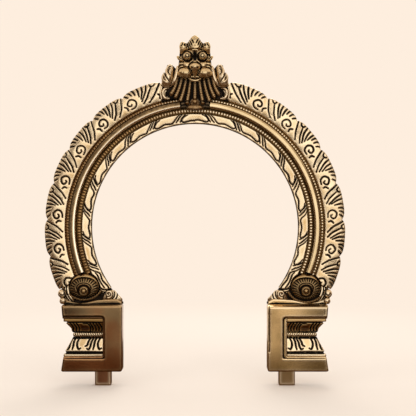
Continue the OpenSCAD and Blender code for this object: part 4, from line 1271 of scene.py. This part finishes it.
def make_feet(sizes, metals, tenon_metals):
    """The two cast feet: a post and two bars round a lipped recess, softened by filing and polish."""
    voxel = sizes.coarse_voxel / MM
    low, high = span("foot_frame_right")
    x0, x1 = low[0], high[0]
    foot_h, foot_t = high[1], high[2]
    cap_low, cap_high = span("capital_right")
    post_x, base_u, bar_u = cap_low[0] - JOINT_GAP, span("lotus_base_right")[0][1], cap_high[1] + JOINT_GAP
    web_h, web_x = cap_low[2], span("neck_bead_right")[1][0] - 2
    tenon_low, tenon_high = span("tenon_right")
    tongue_x, tongue_w, tongue_len = TONGUE
    tongue_x += x0
    past = 9
    beyond = x1 + 30
    lip_d = 1.4
    post_line = [(x0 + 1.7, foot_h - 1.6), (x0 + 1.6, foot_h - 24), (x0 + 1.7, foot_h - 46)]
    end_line = [(x1 - 4.2, foot_h - 5), (x1 - 4.2, bar_u + 4)]
    shoulder_x, shoulder_u = np.array(SHOULDER).T
    for side in SIDES:
        block = Block((x0, 0, 0), (x1, foot_h + 6, foot_t), voxel)
        recess = plan_box(block, (post_x, base_u), (beyond, bar_u), 0.8)
        on_post, under_bar, over_base = FOOT_LIPS[side]
        lip = np.minimum(
            plan_box(block, (post_x - on_post, base_u - over_base + 9), (beyond, bar_u + under_bar), 3.2),
            plan_box(block, (post_x - on_post, base_u - over_base), (beyond, bar_u - 9), 1.0),
        )
        ends = np.interp(block.u, [0, base_u, bar_u, foot_h], [x1, x1 - 2.4, x1 - 1.4, x1 - 0.4])
        body = plan_box(block, (x0, 0), (x1, foot_h), 2.2)
        body = np.maximum(np.maximum(body, block.x - ends), -recess)
        block.add(raised(block, body, 0, foot_t, 1.1))
        block.cut(np.maximum(lip, foot_t - lip_d - block.h), 0.3)
        block.add(raised(block, plan_box(block, (x0, 0), (web_x, foot_h), 2.2), 0, web_h, 0.5))
        filed = 0.1 * np.sin(block.x * 0.13 + 1.0) * np.sin(block.u * 0.11)
        block.field = block.field + filed
        block.keep((block.u - foot_h + FOOT_SLOPES[side] * (block.h - foot_t + 5)) * 0.93, 1.0)
        if side == "right":
            block.engrave([post_line], 0.5, 0.6, where=front(block, foot_t - 6))
        block.engrave([end_line], 0.35, 0.25, where=0.4 * front(block, foot_t - 6))
        rise = np.interp(block.x, x0 + shoulder_x, foot_h + shoulder_u)
        brim = np.maximum(block.u - rise, foot_h - 3 - block.u)
        brim = np.maximum(brim * 0.9, np.maximum(block.x - x1 + 2, x0 + 1.2 - block.x))
        block.add(raised(block, brim, PLATE_H, PLATE_H + 3.4, 0.8), 0.6)
        tongue_low = (tongue_x - JOINT_GAP, foot_h - tongue_len - JOINT_GAP, -past)
        tongue_high = (tongue_x + tongue_w + JOINT_GAP, foot_h + past, PLATE_H + JOINT_GAP)
        block.cut(slab(block, tongue_low, tongue_high))
        block.cut(slab(block, (tenon_low[0] - JOINT_GAP, -past, -past), tenon_high + JOINT_GAP))
        block.keep(-block.h)
        carve_pair(block, "foot_frame", "cast", "foot_brass", {side: metals[side]}, FOOT_GRAIN)
    tenon = Block(tenon_low, tenon_high, voxel)
    tenon.add(slab(tenon, tenon_low, tenon_high, 1.0))
    carve_pair(tenon, "tenon", "filed", "foot_brass", tenon_metals, FOOT_GRAIN)


# Strokes of the lotus base: places along its face, and shares of a petal's length down from its root
PETAL_STROKES = [
    [(2.6, 0.04), (4.9, 0.35), (5.0, 0.62), (3.6, 0.82), (1.6, 0.76)],
    [(6.0, 0.02), (8.2, 0.3), (8.9, 0.6), (9.8, 0.84)],
    [(8.8, 0.02), (11.6, 0.35), (12.6, 0.65), (14.2, 0.84), (16.0, 0.78)],
    [(11.6, 0.02), (14.4, 0.3), (15.6, 0.55), (17.6, 0.62)],
]
PETAL_STARTS = (0, 20.6, 41.2)
# Sprays of strokes on the capital: where each starts along its face, and how many strokes it has
SPRAYS = ((1.0, 4), (23.5, 3), (37.0, 4))
SPRAY_STEP = 3.0
FILLET = 2.4
SILL = 3.2
CORD_PITCH = 2.2


def level_stroke(u):
    """Stroke along the whole face and return of a pilaster's moulding, at one height."""
    return [(-1, u), (25, u), (55, u)]


def make_pilasters(sizes, cap_metals, base_metals):
    """The carved pilaster in each foot: a leaf capital, a roped neck and a lotus base."""
    cap_low, cap_high = span("capital_right")
    neck_low, neck_high = span("neck_bead_right")
    base_low, base_high = span("lotus_base_right")
    x0, web_h = cap_low[0], cap_low[2]
    wide, deep = cap_high[0] - x0, cap_high[2] - web_h
    neck_w, neck_d = neck_high[0] - x0, neck_high[2] - web_h

    def moulding(low, high, rows, shares):
        """A moulding that returns round its outer corner, with the places along its face and its return."""
        block = Block((x0, low, web_h), (x0 + wide, high, web_h + deep + 0.6), sizes.fine_voxel / MM)
        share = np.interp(block.u, rows, shares)
        width, depth = neck_w + (wide - neck_w) * share, neck_d + (deep - neck_d) * share
        x, h = block.x - x0, block.h - web_h
        side, face = x - width, h - depth
        ease = np.maximum(1.6 - np.abs(side - face), 0) ** 2 / 6.4
        block.add(np.maximum(np.maximum(side, face) + ease, np.maximum(-x, -h)) * 0.8)
        wrap = np.where(face > side, x + 0 * face, width + depth - h + 0 * side)
        block.keep(np.maximum(low - block.u, block.u - high))
        return block, wrap, np.broadcast_to(block.u, wrap.shape)

    low, high = cap_low[1], cap_high[1]
    brow = high - FILLET
    heights = [low, low + 1.2, low + 4, brow - 2, brow - 0.8, brow - 0.6, high]
    block, wrap, rows = moulding(low, high, heights, [0, 0.12, 0.18, 0.75, 0.8, 1, 1])
    leaf_h = brow - 1.4 - low
    strokes = [level_stroke(brow - 1.2)]
    strokes.append([(12.6, low + 1.0), (12.4, low + 0.5 * leaf_h)])
    strokes[-1] += [(14.8, low + 0.85 * leaf_h), (19.6, low + 0.85 * leaf_h)]
    for start, count in SPRAYS:
        for a in start + SPRAY_STEP * np.arange(count):
            stem = [(a + 0.4, low + 0.8), (a, low + 0.4 * leaf_h)]
            strokes.append(stem + [(a + 1.2, low + 0.7 * leaf_h), (a + 3.4, low + leaf_h)])
    block.engrave(strokes, 0.7, 1.1, wrap, rows)
    block.engrave([level_stroke(low + 0.4)], 0.9, 0.0, wrap, rows)
    carve_pair(block, "capital", "carved", "foot_brass", cap_metals, soot=-0.02)

    low, high = neck_low[1], neck_high[1]
    block, wrap, rows = moulding(low, high, [low, high], [0, 0])
    bulge = np.sqrt(np.clip(1 - ((rows - (low + high) / 2) / ((high - low) / 2)) ** 2, 0, 1))
    cord = np.clip(np.cos(2 * math.pi * (wrap - 0.4 * rows) / CORD_PITCH), 0, 1) ** 2
    block.field = block.field + 0.8 * (1 - bulge) + 0.5 * cord
    block.lines = 0.7 * cord
    carve_pair(block, "neck_bead", "roped", "foot_brass", base_metals, soot=-0.1)

    low, high = base_low[1], base_high[1]
    sill_u = low + FILLET
    heights = [low, sill_u, sill_u + 0.3, sill_u + 3, low + 9, high]
    block, wrap, rows = moulding(low, high, heights, [1, 1, 0.8, 0.84, 0.6, 0])
    petal = high - sill_u - SILL + 0.8
    strokes = [
        [(start + x, high - share * petal) for x, share in stroke]
        for start in PETAL_STARTS for stroke in PETAL_STROKES
    ]
    block.engrave(strokes, 0.82, 1.1, wrap, rows)
    block.engrave([level_stroke(high - 0.6)], 1.1, 0.0, wrap, rows)
    block.engrave([level_stroke(sill_u + 0.5 * SILL)], 0.5 * SILL, 0.7, wrap, rows, 0.75)
    carve_pair(block, "lotus_base", "carved", "foot_brass", base_metals, soot=-0.06)


def blank_tree(owner):
    """Empty node tree of a material or a world."""
    owner.use_nodes = True
    owner.node_tree.nodes.clear()
    return owner.node_tree


def linear(colour):
    """A colour that is linear already, or that of an sRGB hex value."""
    return srgb(colour) if isinstance(colour, str) else colour


# Distances from the middle of the arch between which the feet take on the tone of their ends
FOOT_ENDS = (84, 124)


def brass(name, colours, main, second, roughness, polish=None, dark_from=0.25, tone_mm=26, skin=0.06,
          wear=0.7, fade=None, ends=None, front_soot=0.0):
    """Brass in two tones, dark with oxide in hollows and lines and where shade is painted, and bright where
    it is worn and where a highlight is painted.
    """
    material = bpy.data.materials.new(name)
    tree = blank_tree(material)
    here = add_node(tree, "ShaderNodeTexCoord").node.outputs["Object"]
    cloud, spots, grain = (
        add_node(tree, "ShaderNodeTexNoise", {"Vector": here, "Scale": 1 / (size * MM), "Detail": detail})
        for size, detail in ((tone_mm, 3.0), (3, 4.0), (0.7, 2.0))
    )
    # The two attributes hold oxide and painted shade, and worn polish and painted highlights
    hollow, high = (
        add_node(tree, "ShaderNodeAttribute", attribute_name=label).node.outputs["Fac"]
        for label in ("patina_and_shade", "wear")
    )
    main = linear(main)
    tone = ramp(tree, cloud, 0.35, 0.65)
    # Painted shade: the second, darker tone grows towards the base
    if fade:
        lower = ramp(tree, parted(tree, here)["Z"], fade[0] * MM, fade[1] * MM)
        part = maths(tree, "MULTIPLY_ADD", tone, 0.6, -0.2)
        tone = maths(tree, "MULTIPLY_ADD", lower, 0.85, part, use_clamp=True)
    if ends:
        across = maths(tree, "ABSOLUTE", parted(tree, here)["X"])
        outward = ramp(tree, across, FOOT_ENDS[0] * MM, FOOT_ENDS[1] * MM)
        main = mixed(tree, outward, main, linear(ends))
    uneven = maths(tree, "ADD", hollow, ramp(tree, spots, 0.3, 0.7, -0.12, 0.12))
    # Painted shade: faces turned to the front are darkened
    if front_soot:
        facing = add_node(tree, "ShaderNodeNewGeometry").node.outputs["Normal"]
        uneven = maths(tree, "MULTIPLY_ADD", parted(tree, facing)["Y"], -front_soot, uneven)
    oxide = ramp(tree, uneven, dark_from - 0.15, dark_from + 0.4, interpolation_type="SMOOTHSTEP")
    shine = ramp(tree, high, 0.05, 0.7, 0.0, wear)
    metal = mixed(tree, tone, main, linear(second))
    polished = mixed(tree, shine, metal, linear(polish or colours.bright))
    shader = add_node(tree, "ShaderNodeBsdfPrincipled", {
        "Base Color": mixed(tree, oxide, polished, colours.patina_and_shade),
        "Metallic": ramp(tree, oxide, 0, 1, 1.0, 0.2),
        "Roughness": ramp(tree, oxide, 0, 1, roughness, 0.62),
        "Specular IOR Level": ramp(tree, oxide, 0, 1, 0.5, 0.06),
        "Normal": add_node(tree, "ShaderNodeBump", {"Height": grain, "Strength": skin, "Distance": 0.3 * MM}),
    })
    add_node(tree, "ShaderNodeOutputMaterial", {"Surface": shader})
    return material


METALS = {}


def build_metals(colours):
    """The finishes of the arch, each named for the metal and how its surface was made."""

    def finish(key, name, main, second, roughness, **more):
        """Makes one finish and keeps it under its key."""
        METALS[key] = brass(name, colours, main, second, roughness, **more)

    # Cast brass, chased and buffed: pale gold faces, with black oxide left in every line
    finish("chased", "Chased cast brass", colours.gold, "#C6A470", 0.26)
    # Bar of drawn brass, polished: the smoothest part, with long highlights; the left one is a darker copy in
    # painted shade, with a bright polish for its painted highlight
    finish("roll_left", "Drawn brass with painted shade and highlight", "#9C8058", "#826642", 0.2, polish="#FBEACB", skin=0.03, wear=1.0)
    finish("roll_right", "Polished drawn brass", "#D8C096", "#C2A87C", 0.2, skin=0.03)
    # Punched brass beads on a ground that polish never reaches
    finish("beads", "Beaded brass on dark ground", "#A68048", "#8C683A", 0.3, polish="#FFEBC4", wear=0.95)
    # The outer row on the left: a darker copy, as painted shade
    finish("beads_in_painted_shade", "Beaded brass in painted shade", "#9A7648", "#84623A", 0.3, dark_from=0.46, wear=0.95)
    # Cast brass of the crest, handled little: brown all over and bright only on its high places
    finish("crest", "Old cast brass", colours.old, "#5C4229", 0.26, polish="#EACF9E",
           dark_from=0.1, wear=0.85)
    finish("beard", "Sooted cast brass", "#674C31", "#4E3720", 0.28, polish="#C2A274",
           dark_from=0.12, wear=0.6)
    # Chased shells that soot has browned, with gold only on their rims; the bright inner edge of the hood is
    # a painted highlight
    finish("rosette", "Browned chased brass", "#442C16", "#321E0D", 0.26, polish="#EBC78C",
           dark_from=0.1, wear=0.85)
    # Cast leaves, golden on their ridges and dark between them
    finish("scroll", "Cast leaf brass", "#B08E60", "#86663F", 0.26, dark_from=0.12, wear=0.85)
    # Cast and filed brass of the feet, darker towards the base as painted shade; the left foot is a darker
    # copy, also painted shade
    finish("foot_left", "Cast brass in painted shade", "#8F7551", "#8A5530", 0.22, polish="#B39368", tone_mm=20,
           wear=0.5, fade=(58, 18), ends="#554832")
    finish("foot_right", "Filed cast brass", "#E4BD82", "#A88A52", 0.22, tone_mm=20, wear=0.5,
           fade=(66, -20), ends="#867054")
    # Sawn brass of the tenons, which the base hides: duller than the feet
    finish("tenon_left", "Browned sawn brass", "#976848", "#7C5034", 0.3)
    finish("tenon_right", "Sawn brass", "#AF9068", "#997B52", 0.3)
    # The carved pilasters keep more of their gold than the plain feet; the left capital is the darkest
    finish("pilaster_left", "Carved brown brass", "#C4A678", "#A88A5C", 0.26, dark_from=0.18, wear=0.8)
    finish("pilaster_right", "Carved cast brass", "#E0C79B", "#C9AA78", 0.26, dark_from=0.28, wear=0.8)
    finish("capital_left", "Dark carved brass", "#6E4A2C", "#54351D", 0.28, polish="#DDB470",
           dark_from=0.18, wear=0.5)
    finish("capital_right", "Browned carved brass", "#8E6B45", "#6C4D2E", 0.28, polish="#EAC68A",
           dark_from=0.2, wear=0.7)
    # Rolled brass sheet behind everything, never polished, and darker as painted shade in front, where it
    # shows between the ornaments
    finish("back", "Rolled brass sheet", "#5A4229", "#402D1B", 0.4, skin=0.12, front_soot=0.55)
    # Hammered brass wire pins, rough and dull
    finish("pin", "Hammered brass wire", "#A98550", "#7F5F34", 0.4, skin=0.15)


def make_world(colours):
    """Background of the stage's colour, which lights the arch with weaker white light."""
    world = bpy.data.worlds.new("Pale studio")
    bpy.context.scene.world = world
    tree = blank_tree(world)
    ray = add_node(tree, "ShaderNodeLightPath").node.outputs
    seen = maths(tree, "MAXIMUM", ray["Is Camera Ray"], ray["Is Glossy Ray"])
    clear = maths(tree, "MAXIMUM", seen, ray["Is Transmission Ray"])
    sky = add_node(tree, "ShaderNodeBackground", {
        "Color": mixed(tree, clear, (1, 1, 1, 1), colours.stage),
        "Strength": ramp(tree, clear, 0, 1, 0.8, 1.0),
    })
    add_node(tree, "ShaderNodeOutputWorld", {"Surface": sky})


def make_floor(colours):
    """Pale floor that takes the arch's shadow and fades into the background."""
    paper = bpy.data.materials.new("Matt paper")
    tree = blank_tree(paper)
    here = add_node(tree, "ShaderNodeTexCoord").node.outputs["Object"]
    away = add_node(tree, "ShaderNodeVectorMath", {0: here}, operation="LENGTH").node.outputs["Value"]
    fade_from, fade_to = 0.25, 0.9
    far = ramp(tree, away, fade_from, fade_to, interpolation_type="SMOOTHSTEP")
    matt = add_node(tree, "ShaderNodeBsdfDiffuse", {"Color": colours.stage})
    glow = add_node(tree, "ShaderNodeEmission", {"Color": colours.stage, "Strength": 1.0})
    mix = add_node(tree, "ShaderNodeMixShader", {0: far, 1: matt, 2: glow})
    add_node(tree, "ShaderNodeOutputMaterial", {"Surface": mix})
    sides, reach, floor_z = 64, 4.0, CAD_BOX[0][2]
    angles = np.linspace(0, 2 * math.pi, sides, endpoint=False)
    rim = [(reach * math.cos(a), reach * math.sin(a), floor_z) for a in angles]
    mesh = bpy.data.meshes.new("floor")
    mesh.from_pydata(rim, [], [list(range(sides))])
    mesh.materials.append(paper)
    floor = link("floor", mesh)
    floor.visible_glossy = False


def make_cards():
    """Dark cards in front of the arch and round it, which only its metal mirrors."""
    felt = bpy.data.materials.new("Brown felt")
    tree = blank_tree(felt)
    matt = add_node(tree, "ShaderNodeBsdfDiffuse", {"Color": srgb("#66503C")})
    add_node(tree, "ShaderNodeOutputMaterial", {"Surface": matt})
    x, y, foot, top = 2.6, -1.9, -0.6, 1.6
    for name, corners in (
        ("front card", [(-x, y, foot), (x, y, foot), (x, y, top), (-x, y, top)]),
        ("low card", [(-x, y, foot), (-x, 1.0, -0.1), (x, 1.0, -0.1), (x, y, foot)]),
        ("left card", [(-x, y, foot), (-x, 0.8, foot), (-x, 0.8, 1.2), (-x, y, top)]),
        ("right card", [(x, y, foot), (x, 0.8, foot), (x, 0.8, 1.2), (x, y, top)]),
    ):
        mesh = bpy.data.meshes.new(name)
        mesh.from_pydata(corners, [], [[0, 1, 2, 3]])
        mesh.materials.append(felt)
        card = link(name, mesh)
        card.visible_camera = card.visible_diffuse = card.visible_shadow = card.visible_transmission = False


def make_lamps():
    """A broad key light, a narrow one from the left and one from behind, all turned to the arch."""
    centre = Vector((0, 0, ARCH_U * MM))
    for name, at, wide, tall, power in (
        ("key softbox", (0.22, -1.5, 0.48), 1.5, 1.2, 8.5),
        ("left softbox", (-1.1, -1.2, 0.6), 0.4, 0.9, 1.4),
        ("rim light", (0.1, 0.9, 0.8), 0.6, 0.6, 3.0),
    ):
        light = bpy.data.lights.new(name, "AREA")
        light.shape = "RECTANGLE"
        light.size = wide
        light.size_y = tall
        light.energy = power
        lamp = link(name, light)
        lamp.location = at
        lamp.rotation_euler = (centre - Vector(at)).to_track_quat("-Z", "Y").to_euler()


def make_camera(distance):
    """Camera straight in front of the arch, with a long lens."""
    frame_w = 416 * MM
    aim_x, aim_z = 13 * MM, 162 * MM
    lens = bpy.data.cameras.new("camera")
    lens.sensor_width = 36
    lens.lens = lens.sensor_width * distance / frame_w
    lens.clip_start = 0.01
    camera = link("camera", lens)
    camera.location = (aim_x, -distance, aim_z)
    camera.rotation_euler = (math.pi / 2, 0, 0)
    bpy.context.scene.camera = camera


UNDOABLE = {"REGISTER", "UNDO"}


def finishes(context):
    """The finishes by name, which are made once."""
    if not METALS:
        build_metals(context.scene.prabhavali_colours)
    return METALS


def pair(context, key):
    """The finishes of the left and the right piece of a pair."""
    return {side: finishes(context)[f"{key}_{side}"] for side in SIDES}


class PRABHAVALI_OT_borders(bpy.types.Operator):
    """Chase the two flame borders."""

    bl_idname = "prabhavali.borders"
    bl_label = "Flame borders"
    bl_options = UNDOABLE

    def execute(self, context):
        make_borders(context.scene.prabhavali_sizes, finishes(context)["chased"])
        return {"FINISHED"}


class PRABHAVALI_OT_leaf_band(bpy.types.Operator):
    """Chase the leaf band round the opening."""

    bl_idname = "prabhavali.leaf_band"
    bl_label = "Leaf band"
    bl_options = UNDOABLE

    def execute(self, context):
        make_leaf_band(context.scene.prabhavali_sizes, finishes(context)["chased"])
        return {"FINISHED"}


class PRABHAVALI_OT_beads(bpy.types.Operator):
    """Set the rows of beads."""

    bl_idname = "prabhavali.beads"
    bl_label = "Bead strips"
    bl_options = UNDOABLE

    def execute(self, context):
        metals = finishes(context)
        make_bead_strips(context.scene.prabhavali_sizes, metals["beads"], metals["beads_in_painted_shade"])
        return {"FINISHED"}


class PRABHAVALI_OT_rolls(bpy.types.Operator):
    """Draw the two roll mouldings."""

    bl_idname = "prabhavali.rolls"
    bl_label = "Roll mouldings"
    bl_options = UNDOABLE

    def execute(self, context):
        make_rolls(pair(context, "roll"))
        return {"FINISHED"}


class PRABHAVALI_OT_crest(bpy.types.Operator):
    """Carve the face, the crown and the beard of the crest."""

    bl_idname = "prabhavali.crest"
    bl_label = "Lion crest"
    bl_options = UNDOABLE

    def execute(self, context):
        sizes, metals = context.scene.prabhavali_sizes, finishes(context)
        make_face(sizes, metals["crest"])
        make_crown(sizes, metals["crest"])
        make_beard(sizes, metals["beard"])
        return {"FINISHED"}


class PRABHAVALI_OT_side_scrolls(bpy.types.Operator):
    """Carve the leaf scrolls beside the face."""

    bl_idname = "prabhavali.side_scrolls"
    bl_label = "Side scrolls"
    bl_options = UNDOABLE

    def execute(self, context):
        make_side_scrolls(context.scene.prabhavali_sizes, finishes(context)["scroll"])
        return {"FINISHED"}


class PRABHAVALI_OT_rosettes(bpy.types.Operator):
    """Chase the rosettes, with their rivets and collars."""

    bl_idname = "prabhavali.rosettes"
    bl_label = "Rosettes"
    bl_options = UNDOABLE

    def execute(self, context):
        metals = finishes(context)
        make_rosettes(context.scene.prabhavali_sizes, metals["rosette"], metals["beard"])
        return {"FINISHED"}


class PRABHAVALI_OT_end_scrolls(bpy.types.Operator):
    """Carve the heel scrolls and toe curls."""

    bl_idname = "prabhavali.end_scrolls"
    bl_label = "Heel and toe scrolls"
    bl_options = UNDOABLE

    def execute(self, context):
        metals = dict.fromkeys(SIDES, finishes(context)["scroll"])
        make_heels(context.scene.prabhavali_sizes, metals)
        make_toes(context.scene.prabhavali_sizes, metals)
        return {"FINISHED"}


class PRABHAVALI_OT_feet(bpy.types.Operator):
    """Cast the feet and their tenons."""

    bl_idname = "prabhavali.feet"
    bl_label = "Feet"
    bl_options = UNDOABLE

    def execute(self, context):
        make_feet(context.scene.prabhavali_sizes, pair(context, "foot"), pair(context, "tenon"))
        return {"FINISHED"}


class PRABHAVALI_OT_pilasters(bpy.types.Operator):
    """Carve the pilasters in the feet."""

    bl_idname = "prabhavali.pilasters"
    bl_label = "Pilasters"
    bl_options = UNDOABLE

    def execute(self, context):
        make_pilasters(context.scene.prabhavali_sizes, pair(context, "capital"), pair(context, "pilaster"))
        return {"FINISHED"}


class PRABHAVALI_OT_back(bpy.types.Operator):
    """Give the plates and the pins, which stay as they are, their own finishes."""

    bl_idname = "prabhavali.back"
    bl_label = "Plates and pins"
    bl_options = UNDOABLE

    def execute(self, context):
        for ending, finish in {"_plate": "back", "_pins": "pin"}.items():
            for name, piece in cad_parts.items():
                if name.endswith(ending):
                    for slot in piece.material_slots:
                        slot.material = finishes(context)[finish]
        return {"FINISHED"}


class PRABHAVALI_OT_stage(bpy.types.Operator):
    """Set up the floor, the light and the camera."""

    bl_idname = "prabhavali.stage"
    bl_label = "Stage"
    bl_options = UNDOABLE

    def execute(self, context):
        context.scene.view_settings.view_transform = "Standard"
        make_world(context.scene.prabhavali_colours)
        make_floor(context.scene.prabhavali_colours)
        make_cards()
        make_lamps()
        make_camera(context.scene.prabhavali_sizes.camera_distance)
        return {"FINISHED"}


OPERATORS = (
    PRABHAVALI_OT_borders, PRABHAVALI_OT_leaf_band, PRABHAVALI_OT_beads, PRABHAVALI_OT_rolls,
    PRABHAVALI_OT_crest, PRABHAVALI_OT_side_scrolls, PRABHAVALI_OT_rosettes, PRABHAVALI_OT_end_scrolls,
    PRABHAVALI_OT_feet, PRABHAVALI_OT_pilasters, PRABHAVALI_OT_back, PRABHAVALI_OT_stage,
)


class PRABHAVALI_PT_panel(bpy.types.Panel):
    """Sizes, colours and pieces of the arch."""

    bl_idname = "PRABHAVALI_PT_panel"
    bl_label = "Prabhavali"
    bl_space_type = "VIEW_3D"
    bl_region_type = "UI"
    bl_category = "Prabhavali"

    def draw(self, context):
        for settings in (context.scene.prabhavali_sizes, context.scene.prabhavali_colours):
            column = self.layout.column()
            for key in settings.bl_rna.properties.keys():
                if key not in ("rna_type", "name"):
                    column.prop(settings, key)
        for operator in OPERATORS:
            self.layout.operator(operator.bl_idname)


CLASSES = (PrabhavaliSizes, PrabhavaliColours, *OPERATORS, PRABHAVALI_PT_panel)


def register():
    """Adds the operators, their panel and the settings that they share."""
    for cls in CLASSES:
        bpy.utils.register_class(cls)
    bpy.types.Scene.prabhavali_sizes = PointerProperty(type=PrabhavaliSizes)
    bpy.types.Scene.prabhavali_colours = PointerProperty(type=PrabhavaliColours)


def unregister():
    """Takes away what register() adds."""
    del bpy.types.Scene.prabhavali_colours
    del bpy.types.Scene.prabhavali_sizes
    for cls in reversed(CLASSES):
        bpy.utils.unregister_class(cls)


def main():
    """Runs every operator once."""
    register()
    for operator in OPERATORS:
        group, name = operator.bl_idname.split(".")
        getattr(getattr(bpy.ops, group), name)()
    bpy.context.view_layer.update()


if __name__ == "__main__":
    main()
